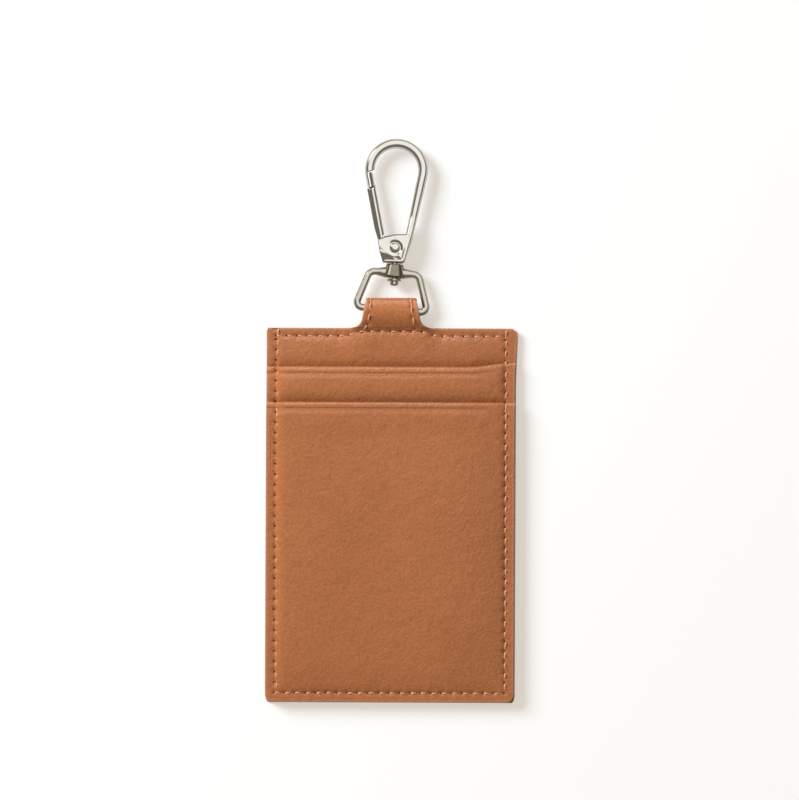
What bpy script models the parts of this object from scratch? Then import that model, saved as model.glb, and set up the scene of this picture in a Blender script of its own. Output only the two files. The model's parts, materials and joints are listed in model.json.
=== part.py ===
"""Vertical card holder in sewn leather, on a swivelling snap hook.

The holder lies on its back with its card pockets up. X is its width, Y its length
towards the hook and Z is up. The origin is under the middle of the whole length, on
the surface that the holder lies on. All sizes are in metres.
"""
import math

import bmesh
import bpy

# Leather body, as cut
bottom_narrowing = 0.0007
bottom_corner_radius = 0.0025
top_corner_radius = 0.0015
back_leather = 0.0009
front_leather = 0.0008
stiffener_thickness = 0.0004
sheet_gap = 0.0002

# Cards and the pockets that hold them
card_width = 0.0540
card_thickness = 0.00076
card_play = 0.00014
card_side_play = 0.0010
pocket_side_slope = 0.00355
front_edge_height = 0.0840
slot_step = 0.0102
top_band_height = 0.0108

# Seams and the pinched margin outside them
seam_inset = 0.0030
seam_to_pocket = 0.0006
bottom_rise = 0.0036
top_rise = 0.0016
crease_inset = 0.0013
crease_half_width = 0.00025
crease_depth = 0.00015

# Tab, folded over the ring and skived to a thin tail inside the body
tab_half_width = 0.0081
tab_fold_half_width = 0.0072
tab_fillet = 0.0032
tab_length = 0.0086
tab_tail_length = 0.0080
tab_throat_clearance = 0.0003
tab_zone_fade = 0.0030

# Ring that hangs in the tab and carries the swivel
running_gap = 0.0003
swivel_gap = 0.0005
floor_clearance = 0.0001
ring_lean = math.radians(4.6)
hook_lean = math.radians(0.95)
ring_slack = 0.00125
ring_wire_radius = 0.0010
ring_bar_vertex = 0.0099
ring_shoulder_vertex = 0.0064
ring_height = 0.0104
ring_bar_corner = 0.0014
ring_shoulder_corner = 0.0022
boss_foot_radius = 0.0027
boss_top_radius = 0.0023
boss_below_shoulder = 0.0014
boss_above_shoulder = 0.0023
boss_chamfer = 0.0004

# Swivel pin and its washer
pin_radius = 0.0009
pin_head_radius = 0.00125
pin_head_height = 0.0012
pin_grip = 0.0015
washer_radius = 0.0019
washer_thickness = 0.0006

# Hook block and bow
block_height = 0.0081
block_thickness = 0.0048
block_base_half_width = 0.0032
block_shoulder_half_width = 0.0047
block_shoulder_drop = 0.0018
block_cut_width = 0.0018
block_corner = 0.0006
block_edge_round = 0.0004
rivet_height = 0.0041
dish_radius = 0.0025
dish_depth = 0.0003
bow_radius = 0.00862
bow_wire_radius = 0.00112
bow_leg_radius = 0.00085
bow_centre_height = 0.0261
bow_leg_lean = math.radians(11.8)
bow_root_depth = 0.0030

# Gate, its rivet and its spring
gate_width = 0.0024
gate_sheet = 0.00045
gate_offset = 0.00455
gate_lean = math.radians(11.8)
gate_arm_width = 0.00225
gate_foot = 0.0019
gate_shoulder = 0.01735
gate_tip = 0.0214
gate_tip_inset = 0.00135
gate_tip_width = 0.00105
gate_nip_length = 0.0005
gate_small_corner = 0.0003
ear_radius = 0.0016
nose_tongue = 0.0010
nose_gap = 0.0004
rivet_radius = 0.00075
rivet_head_radius = 0.00135
rivet_head_height = 0.0004
spring_wire_radius = 0.00013
spring_coil_radius = 0.0012
spring_leg_reach = 0.0060

# Counts and helpers that are not sizes of the object
spring_turns = 2
arc_steps = 6
turned_steps = 24
wire_bevel_resolution = 3
cut_overrun = 0.0100
merge_distance = 0.00001
flat_angle = math.radians(1)
sharp_angle = math.radians(35)
rim_angle = math.radians(60)

# Outline of the body, which follows from the card and the seams round it
pocket_half_width = card_width / 2 + card_side_play
margin_half_width = pocket_half_width + pocket_side_slope
half_width = margin_half_width + seam_to_pocket + seam_inset
bottom_half_width = half_width - bottom_narrowing / 2
upper_edge_height = front_edge_height + slot_step
body_height = upper_edge_height + top_band_height
pocket_floor = seam_inset + seam_to_pocket

# Levels of the leather sheets in the sewn margin, from the table up
card_space = card_thickness + card_play
base_underside = back_leather + sheet_gap
stiffener_rise = stiffener_thickness + sheet_gap
base_raised = base_underside + stiffener_rise
top_seam_line = body_height - seam_inset / 2
tab_root_half_width = tab_half_width + tab_fillet

# Places of the ring and its boss, as heights above the ring's bar
fold_inner_radius = ring_wire_radius + running_gap
fold_outer_radius = fold_inner_radius + front_leather
fold_centre_y = body_height + tab_length - fold_outer_radius
bar_y = fold_centre_y - ring_slack
hardware_z = boss_foot_radius + floor_clearance
throat_y = bar_y - fold_inner_radius - tab_throat_clearance
boss_bottom = ring_height - boss_below_shoulder
boss_top = ring_height + boss_above_shoulder
boss_bore_radius = pin_radius + running_gap
boss_middle = (boss_bottom + boss_top) / 2
swivel_y = bar_y + boss_middle * math.cos(ring_lean)

# Places of the hook's pieces, as heights above the middle of the boss
washer_top = boss_bottom - boss_middle - running_gap
pin_head_top = washer_top - washer_thickness - sheet_gap
block_base = boss_top - boss_middle + swivel_gap
block_top = block_base + block_height
rivet_y = block_base + rivet_height
slot_half_width = gate_width / 2 + running_gap
slot_floor = rivet_y - ear_radius - running_gap
slot_end = ear_radius + running_gap
bow_centre = block_base + bow_centre_height
total_length = swivel_y + bow_centre * math.cos(hook_lean) + bow_radius


def new_collection(name):
    collection = bpy.data.collections.new(name)
    bpy.context.scene.collection.children.link(collection)
    return collection


def new_material(name, colour, roughness, metallic=0.0):
    material = bpy.data.materials.new(name)
    material.use_nodes = True
    shader = material.node_tree.nodes["Principled BSDF"]
    shader.inputs["Base Color"].default_value = (*colour, 1.0)
    shader.inputs["Roughness"].default_value = roughness
    shader.inputs["Metallic"].default_value = metallic
    material.diffuse_color = (*colour, 1.0)
    return material


def new_empty(name, parent, location, lean=0.0):
    """An empty on a joint's axis, which the moving pieces hang from."""
    empty = bpy.data.objects.new(name, None)
    empty.empty_display_size = ring_height
    empty.location = location
    empty.rotation_euler = (0.0, 0.0, -lean)
    empty.parent = parent
    parts.objects.link(empty)
    return empty


def add_part(name, mesh, parent, material, smooth=True):
    part = bpy.data.objects.new(name, mesh)
    part.parent = parent
    parts.objects.link(part)
    mesh.materials.clear()
    mesh.materials.append(material)
    if smooth:
        mesh.shade_smooth()
        mesh.set_sharp_from_angle(angle=sharp_angle)
    return part


def add_guide(name, mesh, parent):
    """A solid that only joins or cuts a part: shown as wire and never rendered."""
    guide = bpy.data.objects.new(name, mesh)
    guide.parent = parent
    guide.display_type = "WIRE"
    guide.hide_render = True
    cutters.objects.link(guide)
    return guide


def combine(part, guide, operation):
    boolean = part.modifiers.new(guide.name, "BOOLEAN")
    boolean.operation = operation
    boolean.object = guide
    boolean.solver = "EXACT"


def finish_mesh(mesh, name):
    data = bpy.data.meshes.new(name)
    bmesh.ops.remove_doubles(mesh, verts=mesh.verts, dist=merge_distance)
    bmesh.ops.recalc_face_normals(mesh, faces=mesh.faces)
    mesh.to_mesh(data)
    mesh.free()
    return data


def curve_mesh(curve, name):
    """The closed mesh of a curve, with its loose caps welded on."""
    carrier = bpy.data.objects.new(name, curve)
    bpy.context.scene.collection.objects.link(carrier)
    graph = bpy.context.evaluated_depsgraph_get()
    graph.update()
    data = bpy.data.meshes.new_from_object(carrier.evaluated_get(graph))
    bpy.data.objects.remove(carrier)
    bpy.data.curves.remove(curve)
    mesh = bmesh.new()
    mesh.from_mesh(data)
    bpy.data.meshes.remove(data)
    bmesh.ops.remove_doubles(mesh, verts=mesh.verts, dist=merge_distance)
    bmesh.ops.dissolve_limit(mesh, angle_limit=flat_angle, verts=mesh.verts, edges=mesh.edges)
    return finish_mesh(mesh, name)


def plate_mesh(name, outline, thickness, middle=0.0):
    """A flat outline, as thick as given, centred on the height of its middle."""
    curve = bpy.data.curves.new(name, "CURVE")
    curve.dimensions = "2D"
    curve.fill_mode = "BOTH"
    curve.extrude = thickness / 2
    spline = curve.splines.new("POLY")
    spline.points.add(len(outline) - 1)
    for point, (x, y) in zip(spline.points, outline):
        point.co = (x, y, 0.0, 1.0)
    spline.use_cyclic_u = True
    data = curve_mesh(curve, name)
    for vertex in data.vertices:
        vertex.co.z += middle
    return data


def wire_mesh(name, points, radius, closed=False, radii=None, resolution=wire_bevel_resolution):
    """A round wire along its points; radii are shares of the wire's radius."""
    curve = bpy.data.curves.new(name, "CURVE")
    curve.dimensions = "3D"
    curve.bevel_depth = radius
    curve.bevel_resolution = resolution
    curve.use_fill_caps = not closed
    spline = curve.splines.new("POLY")
    spline.points.add(len(points) - 1)
    for number, (point, place) in enumerate(zip(spline.points, points)):
        point.co = (*place, 1.0)
        point.radius = radii[number] if radii else 1.0
    spline.use_cyclic_u = closed
    return curve_mesh(curve, name)


def turned_mesh(name, profile):
    """A solid of revolution about Y, from (radius, height) points, top to bottom."""
    mesh = bmesh.new()
    line = [mesh.verts.new((radius, height, 0.0)) for radius, height in profile]
    edges = [mesh.edges.new(pair) for pair in zip(line, line[1:])]
    bmesh.ops.spin(mesh, geom=line + edges, cent=(0, 0, 0), axis=(0, 1, 0),
                   angle=math.tau, steps=turned_steps, use_merge=True)
    return finish_mesh(mesh, name)


def stand_up(data, y):
    """Turns a piece made about Y to stand along Z, at a height along the hook."""
    for vertex in data.vertices:
        across, along, up = vertex.co
        vertex.co = (across, y - up, along)
    return data


def rounded(corners, steps=arc_steps):
    """An outline from (x, y, radius) corners, each rounded by an arc of its radius."""
    outline = []
    for number, (x, y, radius) in enumerate(corners):
        before = corners[number - 1]
        after = corners[(number + 1) % len(corners)]
        to_before = unit((before[0] - x, before[1] - y))
        to_after = unit((after[0] - x, after[1] - y))
        if radius == 0.0:
            outline.append((x, y))
            continue
        half_angle = math.acos(dot(to_before, to_after)) / 2
        reach = radius / math.tan(half_angle)
        middle = unit((to_before[0] + to_after[0], to_before[1] + to_after[1]))
        centre_reach = radius / math.sin(half_angle)
        centre = (x + middle[0] * centre_reach, y + middle[1] * centre_reach)
        start = (x + to_before[0] * reach - centre[0], y + to_before[1] * reach - centre[1])
        end = (x + to_after[0] * reach - centre[0], y + to_after[1] * reach - centre[1])
        sweep = math.atan2(start[0] * end[1] - start[1] * end[0], dot(start, end))
        first = math.atan2(start[1], start[0])
        for step in range(steps + 1):
            angle = first + sweep * step / steps
            outline.append((centre[0] + radius * math.cos(angle), centre[1] + radius * math.sin(angle)))
    return outline


def unit(vector):
    length = math.hypot(*vector)
    return (vector[0] / length, vector[1] / length)


def dot(first, second):
    return first[0] * second[0] + first[1] * second[1]


def evenly(start, end, count):
    """As many steps as count from start to end, both ends included."""
    return [start + (end - start) * step / count for step in range(count + 1)]


def in_order(*groups):
    """All the places of the groups, from the lowest, with near doubles left out."""
    places = []
    for place in sorted(value for group in groups for value in group):
        if not places or place - places[-1] > merge_distance:
            places.append(place)
    return places


def ease(value, start, end):
    """Rises smoothly from 0 at start to 1 at end."""
    share = min(max((value - start) / (end - start), 0.0), 1.0)
    return share * share * (3 - 2 * share)


def ease_slope(share):
    """How steeply the ease rises at a share of its way."""
    return 6 * share * (1 - share)


def edge_inset(y):
    """How far the rounded corners draw the side edge in at a height."""
    inset = 0.0
    if y < bottom_corner_radius:
        drop = bottom_corner_radius - y
        inset = bottom_corner_radius - math.sqrt(bottom_corner_radius ** 2 - drop ** 2)
    if y > body_height - top_corner_radius:
        drop = min(y - body_height + top_corner_radius, top_corner_radius)
        inset = top_corner_radius - math.sqrt(top_corner_radius ** 2 - drop ** 2)
    return inset


def side_place(across, y):
    """X of a column of the sheets, which narrow a little towards the bottom."""
    taper = (bottom_half_width + (half_width - bottom_half_width) * y / body_height) / half_width
    edge_share = max(abs(across) - margin_half_width, 0.0) / (half_width - margin_half_width)
    return across * taper - math.copysign(edge_inset(y) * edge_share, across)


def inside_sides(across):
    return 1.0 - ease(abs(across), pocket_half_width, margin_half_width)


def base_top(across, y):
    """Front face of the base leather, lifted by the stiffener and by the tab's tail."""
    tab_share = 1.0 - ease(abs(across), tab_root_half_width, tab_root_half_width + tab_zone_fade)
    top_share = 1.0 - ease(y, top_seam_line - seam_to_pocket - top_rise, top_seam_line - seam_to_pocket)
    bottom_share = ease(y, pocket_floor, pocket_floor + bottom_rise)
    lift = stiffener_rise * inside_sides(across) * bottom_share * max(top_share, tab_share)
    return base_underside + front_leather + lift


def pocket_top(under, floor, edge):
    """Front face of a pocket leather over the sheet under it, with its creased edge."""
    def top(across, y):
        space = card_space * inside_sides(across) * ease(y, floor, floor + bottom_rise)
        crease_line = edge - crease_inset
        crease = max(0.0, 1.0 - abs(y - crease_line) / crease_half_width)
        crease *= ease(half_width - abs(across), seam_inset, seam_inset + bottom_rise)
        return under(across, y) + sheet_gap + space + front_leather - crease_depth * crease
    return top


def sheet(columns, rows, top, thickness):
    """A sheet of leather over a grid of places, following a height rule."""
    mesh = bmesh.new()
    bmesh.ops.create_grid(mesh, x_segments=len(columns) - 1, y_segments=len(rows) - 1, size=1.0)
    for vertex in mesh.verts:
        across = columns[round((vertex.co.x + 1) / 2 * (len(columns) - 1))]
        y = rows[round((vertex.co.y + 1) / 2 * (len(rows) - 1))]
        vertex.co = (side_place(across, y), y, top(across, y))
    lower = bmesh.ops.extrude_face_region(mesh, geom=list(mesh.faces))
    for vertex in lower["geom"]:
        if isinstance(vertex, bmesh.types.BMVert):
            vertex.co.z = vertex.co.z - thickness
    bmesh.ops.recalc_face_normals(mesh, faces=mesh.faces)
    return mesh


def both_sides(places):
    return in_order([-place for place in places], places)


def corner_rows(radius, end, direction):
    """Rows that follow a rounded corner from the end of the sheet inwards."""
    angles = evenly(0.0, math.pi / 2, arc_steps // 2)
    return [end + direction * radius * (1 - math.cos(angle)) for angle in angles]


def make_back_panel(parent):
    rows = in_order(corner_rows(bottom_corner_radius, 0.0, 1),
                    corner_rows(top_corner_radius, body_height, -1))
    columns = both_sides([0.0, margin_half_width, half_width])
    mesh = sheet(columns, rows, lambda across, y: back_leather, back_leather)
    leather = new_material("back_leather", (0.42, 0.145, 0.058), 0.55)
    return add_part("back_panel", finish_mesh(mesh, "back_panel"), parent, leather, smooth=False)


def make_stiffener(parent):
    """Board between the back and the front, notched at the top for the tab's tail."""
    low = pocket_floor + bottom_rise
    high = top_seam_line - seam_to_pocket - top_rise
    notch = tab_half_width + running_gap
    notch_floor = body_height - tab_tail_length - running_gap
    side = side_place(pocket_half_width, low)
    outline = [(-side, low), (side, low), (side, high), (notch, high), (notch, notch_floor),
               (-notch, notch_floor), (-notch, high), (-side, high)]
    middle = base_underside + stiffener_thickness / 2
    data = plate_mesh("back_stiffener", outline, stiffener_thickness, middle)
    board = new_material("stiffener_board", (0.30, 0.24, 0.18), 0.9)
    return add_part("back_stiffener", data, parent, board, smooth=False)


def tab_half_width_at(rise):
    """Half width of the tab at a height above the body's top edge."""
    if rise < tab_fillet:
        return tab_half_width + tab_fillet - math.sqrt(tab_fillet ** 2 - (tab_fillet - rise) ** 2)
    narrowing = min((rise - tab_fillet) / (tab_length - fold_outer_radius - tab_fillet), 1.0)
    return tab_half_width + (tab_fold_half_width - tab_half_width) * narrowing


def tab_sections():
    """Middle line of the tab from the body, over the ring's bar and back to its tail.

    Each section is (y, z, direction y, direction z, half width, thickness).
    """
    sections = []
    root_z = base_raised + front_leather / 2
    fold_middle = fold_inner_radius + front_leather / 2
    front_z = hardware_z + fold_middle
    back_z = hardware_z - fold_middle
    tail_z = base_underside + stiffener_thickness / 2
    climb = throat_y - body_height
    for share in evenly(0.0, 1.0, arc_steps)[1:]:
        slope = ease_slope(share) * (front_z - root_z) / climb
        along, up = unit((1.0, slope))
        height = root_z + (front_z - root_z) * ease(share, 0.0, 1.0)
        sections.append((body_height + climb * share, height, along, up, front_leather))
    for angle in evenly(0.0, math.pi, 2 * arc_steps):
        sections.append((fold_centre_y + fold_middle * math.sin(angle),
                         hardware_z + fold_middle * math.cos(angle),
                         math.cos(angle), -math.sin(angle), front_leather))
    for share in evenly(0.0, 1.0, arc_steps // 2):
        slope = ease_slope(share) * (tail_z - back_z) / climb
        along, up = unit((-1.0, slope))
        height = back_z + (tail_z - back_z) * ease(share, 0.0, 1.0)
        thickness = front_leather + (stiffener_thickness - front_leather) * share
        sections.append((throat_y - climb * share, height, along, up, thickness))
    sections.append((body_height - tab_tail_length, tail_z, -1.0, 0.0, stiffener_thickness))
    turned_under = False
    for y, z, along, up, thickness in sections:
        turned_under = turned_under or along < 0.0
        rise = max(y - body_height, tab_fillet) if turned_under else y - body_height
        yield y, z, along, up, tab_half_width_at(rise), thickness


def draw_out_tab(mesh):
    """Extends the base leather's top edge into the folded tab, section by section."""
    across = mesh.verts.layers.float.new("across")
    outside = mesh.verts.layers.float.new("outside")
    root_place = side_place(tab_root_half_width, body_height)
    faces = [face for face in mesh.faces
             if all(abs(vertex.co.y - body_height) < merge_distance
                    and abs(vertex.co.x) < root_place + merge_distance for vertex in face.verts)]
    for vertex in {vertex for face in faces for vertex in face.verts}:
        vertex[across] = vertex.co.x / root_place
        vertex[outside] = math.copysign(1.0, vertex.co.z - base_raised - front_leather / 2)
    for y, z, along, up, width, thickness in tab_sections():
        grown = bmesh.ops.extrude_face_region(mesh, geom=faces)
        bmesh.ops.delete(mesh, geom=faces, context="FACES_ONLY")
        faces = [item for item in grown["geom"] if isinstance(item, bmesh.types.BMFace)]
        for vertex in {vertex for face in faces for vertex in face.verts}:
            offset = vertex[outside] * thickness / 2
            vertex.co = (vertex[across] * width, y - up * offset, z + along * offset)


def make_front_base(parent):
    """Front leather of the body, in one piece with the tab that holds the ring."""
    slope_top = top_seam_line - seam_to_pocket
    rows = in_order(corner_rows(bottom_corner_radius, 0.0, 1),
                    evenly(pocket_floor, pocket_floor + bottom_rise, arc_steps // 2),
                    [upper_edge_height],
                    evenly(slope_top - top_rise, slope_top, arc_steps // 2),
                    corner_rows(top_corner_radius, body_height, -1))
    tab_columns = evenly(0.0, tab_root_half_width, arc_steps // 2)
    columns = both_sides(tab_columns + [tab_root_half_width + tab_zone_fade / 2]
                         + [tab_root_half_width + tab_zone_fade]
                         + evenly(pocket_half_width, margin_half_width, arc_steps // 2)
                         + [half_width])
    mesh = sheet(columns, rows, base_top, front_leather)
    draw_out_tab(mesh)
    leather = new_material("base_leather", (0.45, 0.160, 0.065), 0.5)
    return add_part("front_base", finish_mesh(mesh, "front_base"), parent, leather)


def make_pocket(name, parent, top, edge, floors):
    rises = [evenly(floor, floor + bottom_rise, arc_steps // 2) for floor in floors]
    creases = [edge - crease_inset + side * crease_half_width for side in (-1, 0, 1)]
    rows = in_order(corner_rows(bottom_corner_radius, 0.0, 1), *rises,
                    [(pocket_floor + front_edge_height) / 2], creases, [edge])
    slope = evenly(pocket_half_width, margin_half_width, arc_steps // 2)
    columns = both_sides([0.0, pocket_half_width / 2] + slope + [half_width])
    mesh = sheet(columns, rows, top, front_leather)
    leather = new_material(name + "_leather", (0.43, 0.150, 0.061), 0.5)
    return add_part(name, finish_mesh(mesh, name), parent, leather)


def make_pockets(parent):
    """The two card pockets, each floor one slot step above the pocket in front."""
    upper_floor = pocket_floor + slot_step
    upper_top = pocket_top(base_top, upper_floor, upper_edge_height)
    front_top = pocket_top(upper_top, pocket_floor, front_edge_height)
    floors = [pocket_floor, upper_floor]
    make_pocket("upper_pocket", parent, upper_top, upper_edge_height, floors)
    make_pocket("front_pocket", parent, front_top, front_edge_height, floors)


def make_ring(parent):
    """Wire ring whose shoulders carry the swivel's turned and bored boss."""
    corners = [(-ring_bar_vertex, 0.0, ring_bar_corner), (ring_bar_vertex, 0.0, ring_bar_corner),
               (ring_shoulder_vertex, ring_height, ring_shoulder_corner),
               (-ring_shoulder_vertex, ring_height, ring_shoulder_corner)]
    path = [(x, y, 0.0) for x, y in rounded(corners)]
    nickel = new_material("ring_nickel", (0.66, 0.64, 0.61), 0.16, 1.0)
    data = wire_mesh("base_ring", path, ring_wire_radius, closed=True)
    ring = add_part("base_ring", data, parent, nickel)
    boss = [(0.0, boss_top), (boss_top_radius - boss_chamfer, boss_top),
            (boss_top_radius, boss_top - boss_chamfer),
            (boss_foot_radius, boss_bottom + boss_chamfer),
            (boss_foot_radius - boss_chamfer, boss_bottom), (0.0, boss_bottom)]
    combine(ring, add_guide("boss_body", turned_mesh("boss_body", boss), parent), "UNION")
    above = boss_top + cut_overrun
    below = boss_bottom - cut_overrun / 2
    bore = [(0.0, above), (boss_bore_radius, above), (boss_bore_radius, below), (0.0, below)]
    combine(ring, add_guide("boss_bore", turned_mesh("boss_bore", bore), parent), "DIFFERENCE")
    return ring


def make_washer(parent):
    bottom = washer_top - washer_thickness
    inner = pin_radius + sheet_gap
    profile = [(inner, washer_top), (washer_radius, washer_top), (washer_radius, bottom),
               (inner, bottom), (inner, washer_top)]
    steel = new_material("washer_steel", (0.35, 0.34, 0.33), 0.3, 1.0)
    return add_part("swivel_washer", turned_mesh("swivel_washer", profile), parent, steel)


def make_pin(parent):
    """Swivel pin, held in the block and peened to a round head under the washer."""
    head_foot = pin_head_top - pin_head_height
    dome = [(pin_head_radius * math.cos(angle), pin_head_top - pin_head_height / 2
             - pin_head_height / 2 * math.sin(angle)) for angle in evenly(0.0, math.pi / 2, arc_steps)]
    profile = [(0.0, block_base + pin_grip), (pin_radius, block_base + pin_grip),
               (pin_radius, pin_head_top), (pin_head_radius, pin_head_top)] + dome[:-1]
    profile.append((0.0, head_foot))
    steel = new_material("pin_nickel", (0.62, 0.60, 0.57), 0.2, 1.0)
    return add_part("swivel_pin", turned_mesh("swivel_pin", profile), parent, steel)


def bow_points():
    """Middle line of the bow, from its root in the block over the crown to the nose."""
    line_radius = bow_radius - bow_wire_radius
    leg_foot = block_top - bow_root_depth
    points = []
    shares = []
    joint_x = line_radius * math.cos(bow_leg_lean)
    joint_y = bow_centre - line_radius * math.sin(bow_leg_lean)
    root_x = joint_x - (joint_y - leg_foot) * math.tan(bow_leg_lean)
    foot_share = bow_leg_radius / bow_wire_radius
    for share in evenly(0.0, 1.0, arc_steps)[:-1]:
        points.append((root_x + (joint_x - root_x) * share, leg_foot + (joint_y - leg_foot) * share, 0.0))
        shares.append(foot_share + (1 - foot_share) * share)
    for angle in evenly(-bow_leg_lean, math.pi + bow_leg_lean, 4 * arc_steps):
        points.append((line_radius * math.cos(angle), bow_centre + line_radius * math.sin(angle), 0.0))
        shares.append(1.0)
    joint_along = (joint_x - gate_offset) * math.sin(gate_lean) + (joint_y - rivet_y) * math.cos(gate_lean)
    down = joint_along - gate_shoulder - nose_gap
    points.append((down * math.sin(bow_leg_lean) - joint_x, joint_y - down * math.cos(bow_leg_lean), 0.0))
    shares.append(1.0)
    return points, shares


def on_arm(along, inward):
    """A place on the gate, from the rivet: along its outer face, and inward from it."""
    x = -gate_offset - along * math.sin(gate_lean) + inward * math.cos(gate_lean)
    y = along * math.cos(gate_lean) + inward * math.sin(gate_lean)
    return (x, y)


def block_outline():
    shoulder = block_top - block_shoulder_drop
    return rounded([(-block_base_half_width, block_base, block_corner),
                    (block_base_half_width, block_base, block_corner),
                    (block_shoulder_half_width, shoulder, block_corner),
                    (block_shoulder_half_width, block_top, block_corner),
                    (block_cut_width - block_shoulder_half_width, block_top, block_corner),
                    (-block_shoulder_half_width, shoulder, block_corner)], arc_steps // 2)


def lap_cutter(parent):
    """Clears the nose for the gate's tip, out to the arc that the tip sweeps."""
    reach = math.hypot(*on_arm(gate_tip, gate_tip_inset)) + running_gap
    left = on_arm(gate_shoulder - cut_overrun / 2, nose_tongue)
    side_x = -gate_offset + nose_tongue / math.cos(gate_lean)
    lean = math.tan(gate_lean)
    meet = (math.sqrt(reach ** 2 * (1 + lean ** 2) - side_x ** 2) + side_x * lean) / (1 + lean ** 2)
    first = math.atan2(meet, side_x - meet * lean)
    arc = [(reach * math.cos(angle), reach * math.sin(angle))
           for angle in evenly(first, math.pi / 2, 2 * arc_steps)]
    outline = [left] + arc + [(0.0, left[1])]
    outline = [(x, y + rivet_y) for x, y in outline]
    return add_guide("nose_lap", plate_mesh("nose_lap", outline, cut_overrun), parent)


def make_hook_frame(parent):
    """Cast block with two cheeks for the gate, and the round bow that grows from it."""
    nickel = new_material("hook_nickel", (0.68, 0.66, 0.63), 0.14, 1.0)
    hook = add_part("hook_frame", plate_mesh("hook_frame", block_outline(), block_thickness),
                    parent, nickel)
    rim = hook.modifiers.new("rim", "BEVEL")
    rim.width = block_edge_round
    rim.segments = 2
    rim.limit_method = "ANGLE"
    rim.angle_limit = rim_angle
    points, shares = bow_points()
    bow = wire_mesh("bow_wire", points, bow_wire_radius, radii=shares, resolution=4)
    combine(hook, add_guide("bow_wire", bow, parent), "UNION")
    combine(hook, lap_cutter(parent), "DIFFERENCE")
    above = block_top + cut_overrun / 2
    slot = [(-cut_overrun, slot_floor), (slot_end, slot_floor), (slot_end, above), (-cut_overrun, above)]
    cheek_slot = plate_mesh("cheek_slot", slot, 2 * slot_half_width)
    combine(hook, add_guide("cheek_slot", cheek_slot, parent), "DIFFERENCE")
    socket = [(0.0, block_base + pin_grip + running_gap),
              (pin_radius + running_gap, block_base + pin_grip + running_gap),
              (pin_radius + running_gap, block_base - cut_overrun), (0.0, block_base - cut_overrun)]
    combine(hook, add_guide("pin_socket", turned_mesh("pin_socket", socket), parent), "DIFFERENCE")
    hole_radius = rivet_radius + running_gap
    face = block_thickness / 2
    hole = [(0.0, cut_overrun), (dish_radius, cut_overrun), (dish_radius, face - dish_depth),
            (hole_radius, face - dish_depth), (hole_radius, dish_depth - face),
            (dish_radius, dish_depth - face), (dish_radius, -cut_overrun), (0.0, -cut_overrun)]
    dishes = stand_up(turned_mesh("rivet_dishes", hole), rivet_y)
    combine(hook, add_guide("rivet_dishes", dishes, parent), "DIFFERENCE")
    return hook


def tangent_angle(target, radius, direction):
    """Angle on a round about the rivet where a straight line to the target leaves it."""
    distance = math.hypot(*target)
    return math.atan2(target[1], target[0]) + direction * math.acos(radius / distance)


def make_gate(parent):
    """Sprung gate, a folded channel whose ears sit on the rivet and whose tip is nipped."""
    foot = on_arm(gate_foot, 0.0)
    heel = on_arm(gate_foot + ear_radius, gate_arm_width)
    ear_start = tangent_angle(foot, ear_radius, 1)
    ear_end = tangent_angle(heel, ear_radius, -1) + math.tau
    ear = [(ear_radius * math.cos(angle), ear_radius * math.sin(angle), 0.0)
           for angle in evenly(ear_start, ear_end, 2 * arc_steps)]
    outline = rounded([(*foot, gate_small_corner)] + ear + [
        (*heel, ear_radius),
        (*on_arm(gate_shoulder, gate_arm_width), 0.0),
        (*on_arm(gate_tip, gate_tip_inset + gate_tip_width), gate_small_corner),
        (*on_arm(gate_tip, gate_tip_inset), gate_small_corner),
        (*on_arm(gate_shoulder, gate_tip_inset), 0.0),
        (*on_arm(gate_shoulder, 0.0), gate_small_corner)], arc_steps // 2)
    nickel = new_material("gate_nickel", (0.70, 0.68, 0.65), 0.18, 1.0)
    gate = add_part("gate", plate_mesh("gate", outline, gate_width), parent, nickel)
    top = gate_shoulder - gate_nip_length
    inside = [on_arm(-cut_overrun, gate_sheet), (cut_overrun, -cut_overrun),
              on_arm(top, cut_overrun), on_arm(top, gate_sheet)]
    channel = plate_mesh("gate_channel", inside, gate_width - 2 * gate_sheet)
    combine(gate, add_guide("gate_channel", channel, parent), "DIFFERENCE")
    bore = [(0.0, cut_overrun), (rivet_radius + running_gap, cut_overrun),
            (rivet_radius + running_gap, -cut_overrun), (0.0, -cut_overrun)]
    hole = stand_up(turned_mesh("gate_bore", bore), 0.0)
    combine(gate, add_guide("gate_bore", hole, parent), "DIFFERENCE")
    return gate


def make_rivet(parent):
    """Rivet through the cheeks and the gate's ears, with a domed head in each dish."""
    seat = block_thickness / 2 - dish_depth + sheet_gap
    dome = [(rivet_head_radius * math.cos(angle), seat + rivet_head_height * math.sin(angle))
            for angle in evenly(0.0, math.pi / 2, arc_steps // 2)]
    upper = [(0.0, dome[-1][1])] + dome[-2::-1] + [(rivet_radius, seat)]
    profile = upper + [(radius, -height) for radius, height in reversed(upper)]
    steel = new_material("rivet_nickel", (0.60, 0.58, 0.55), 0.22, 1.0)
    data = stand_up(turned_mesh("gate_rivet", profile), rivet_y)
    return add_part("gate_rivet", data, parent, steel)


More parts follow.
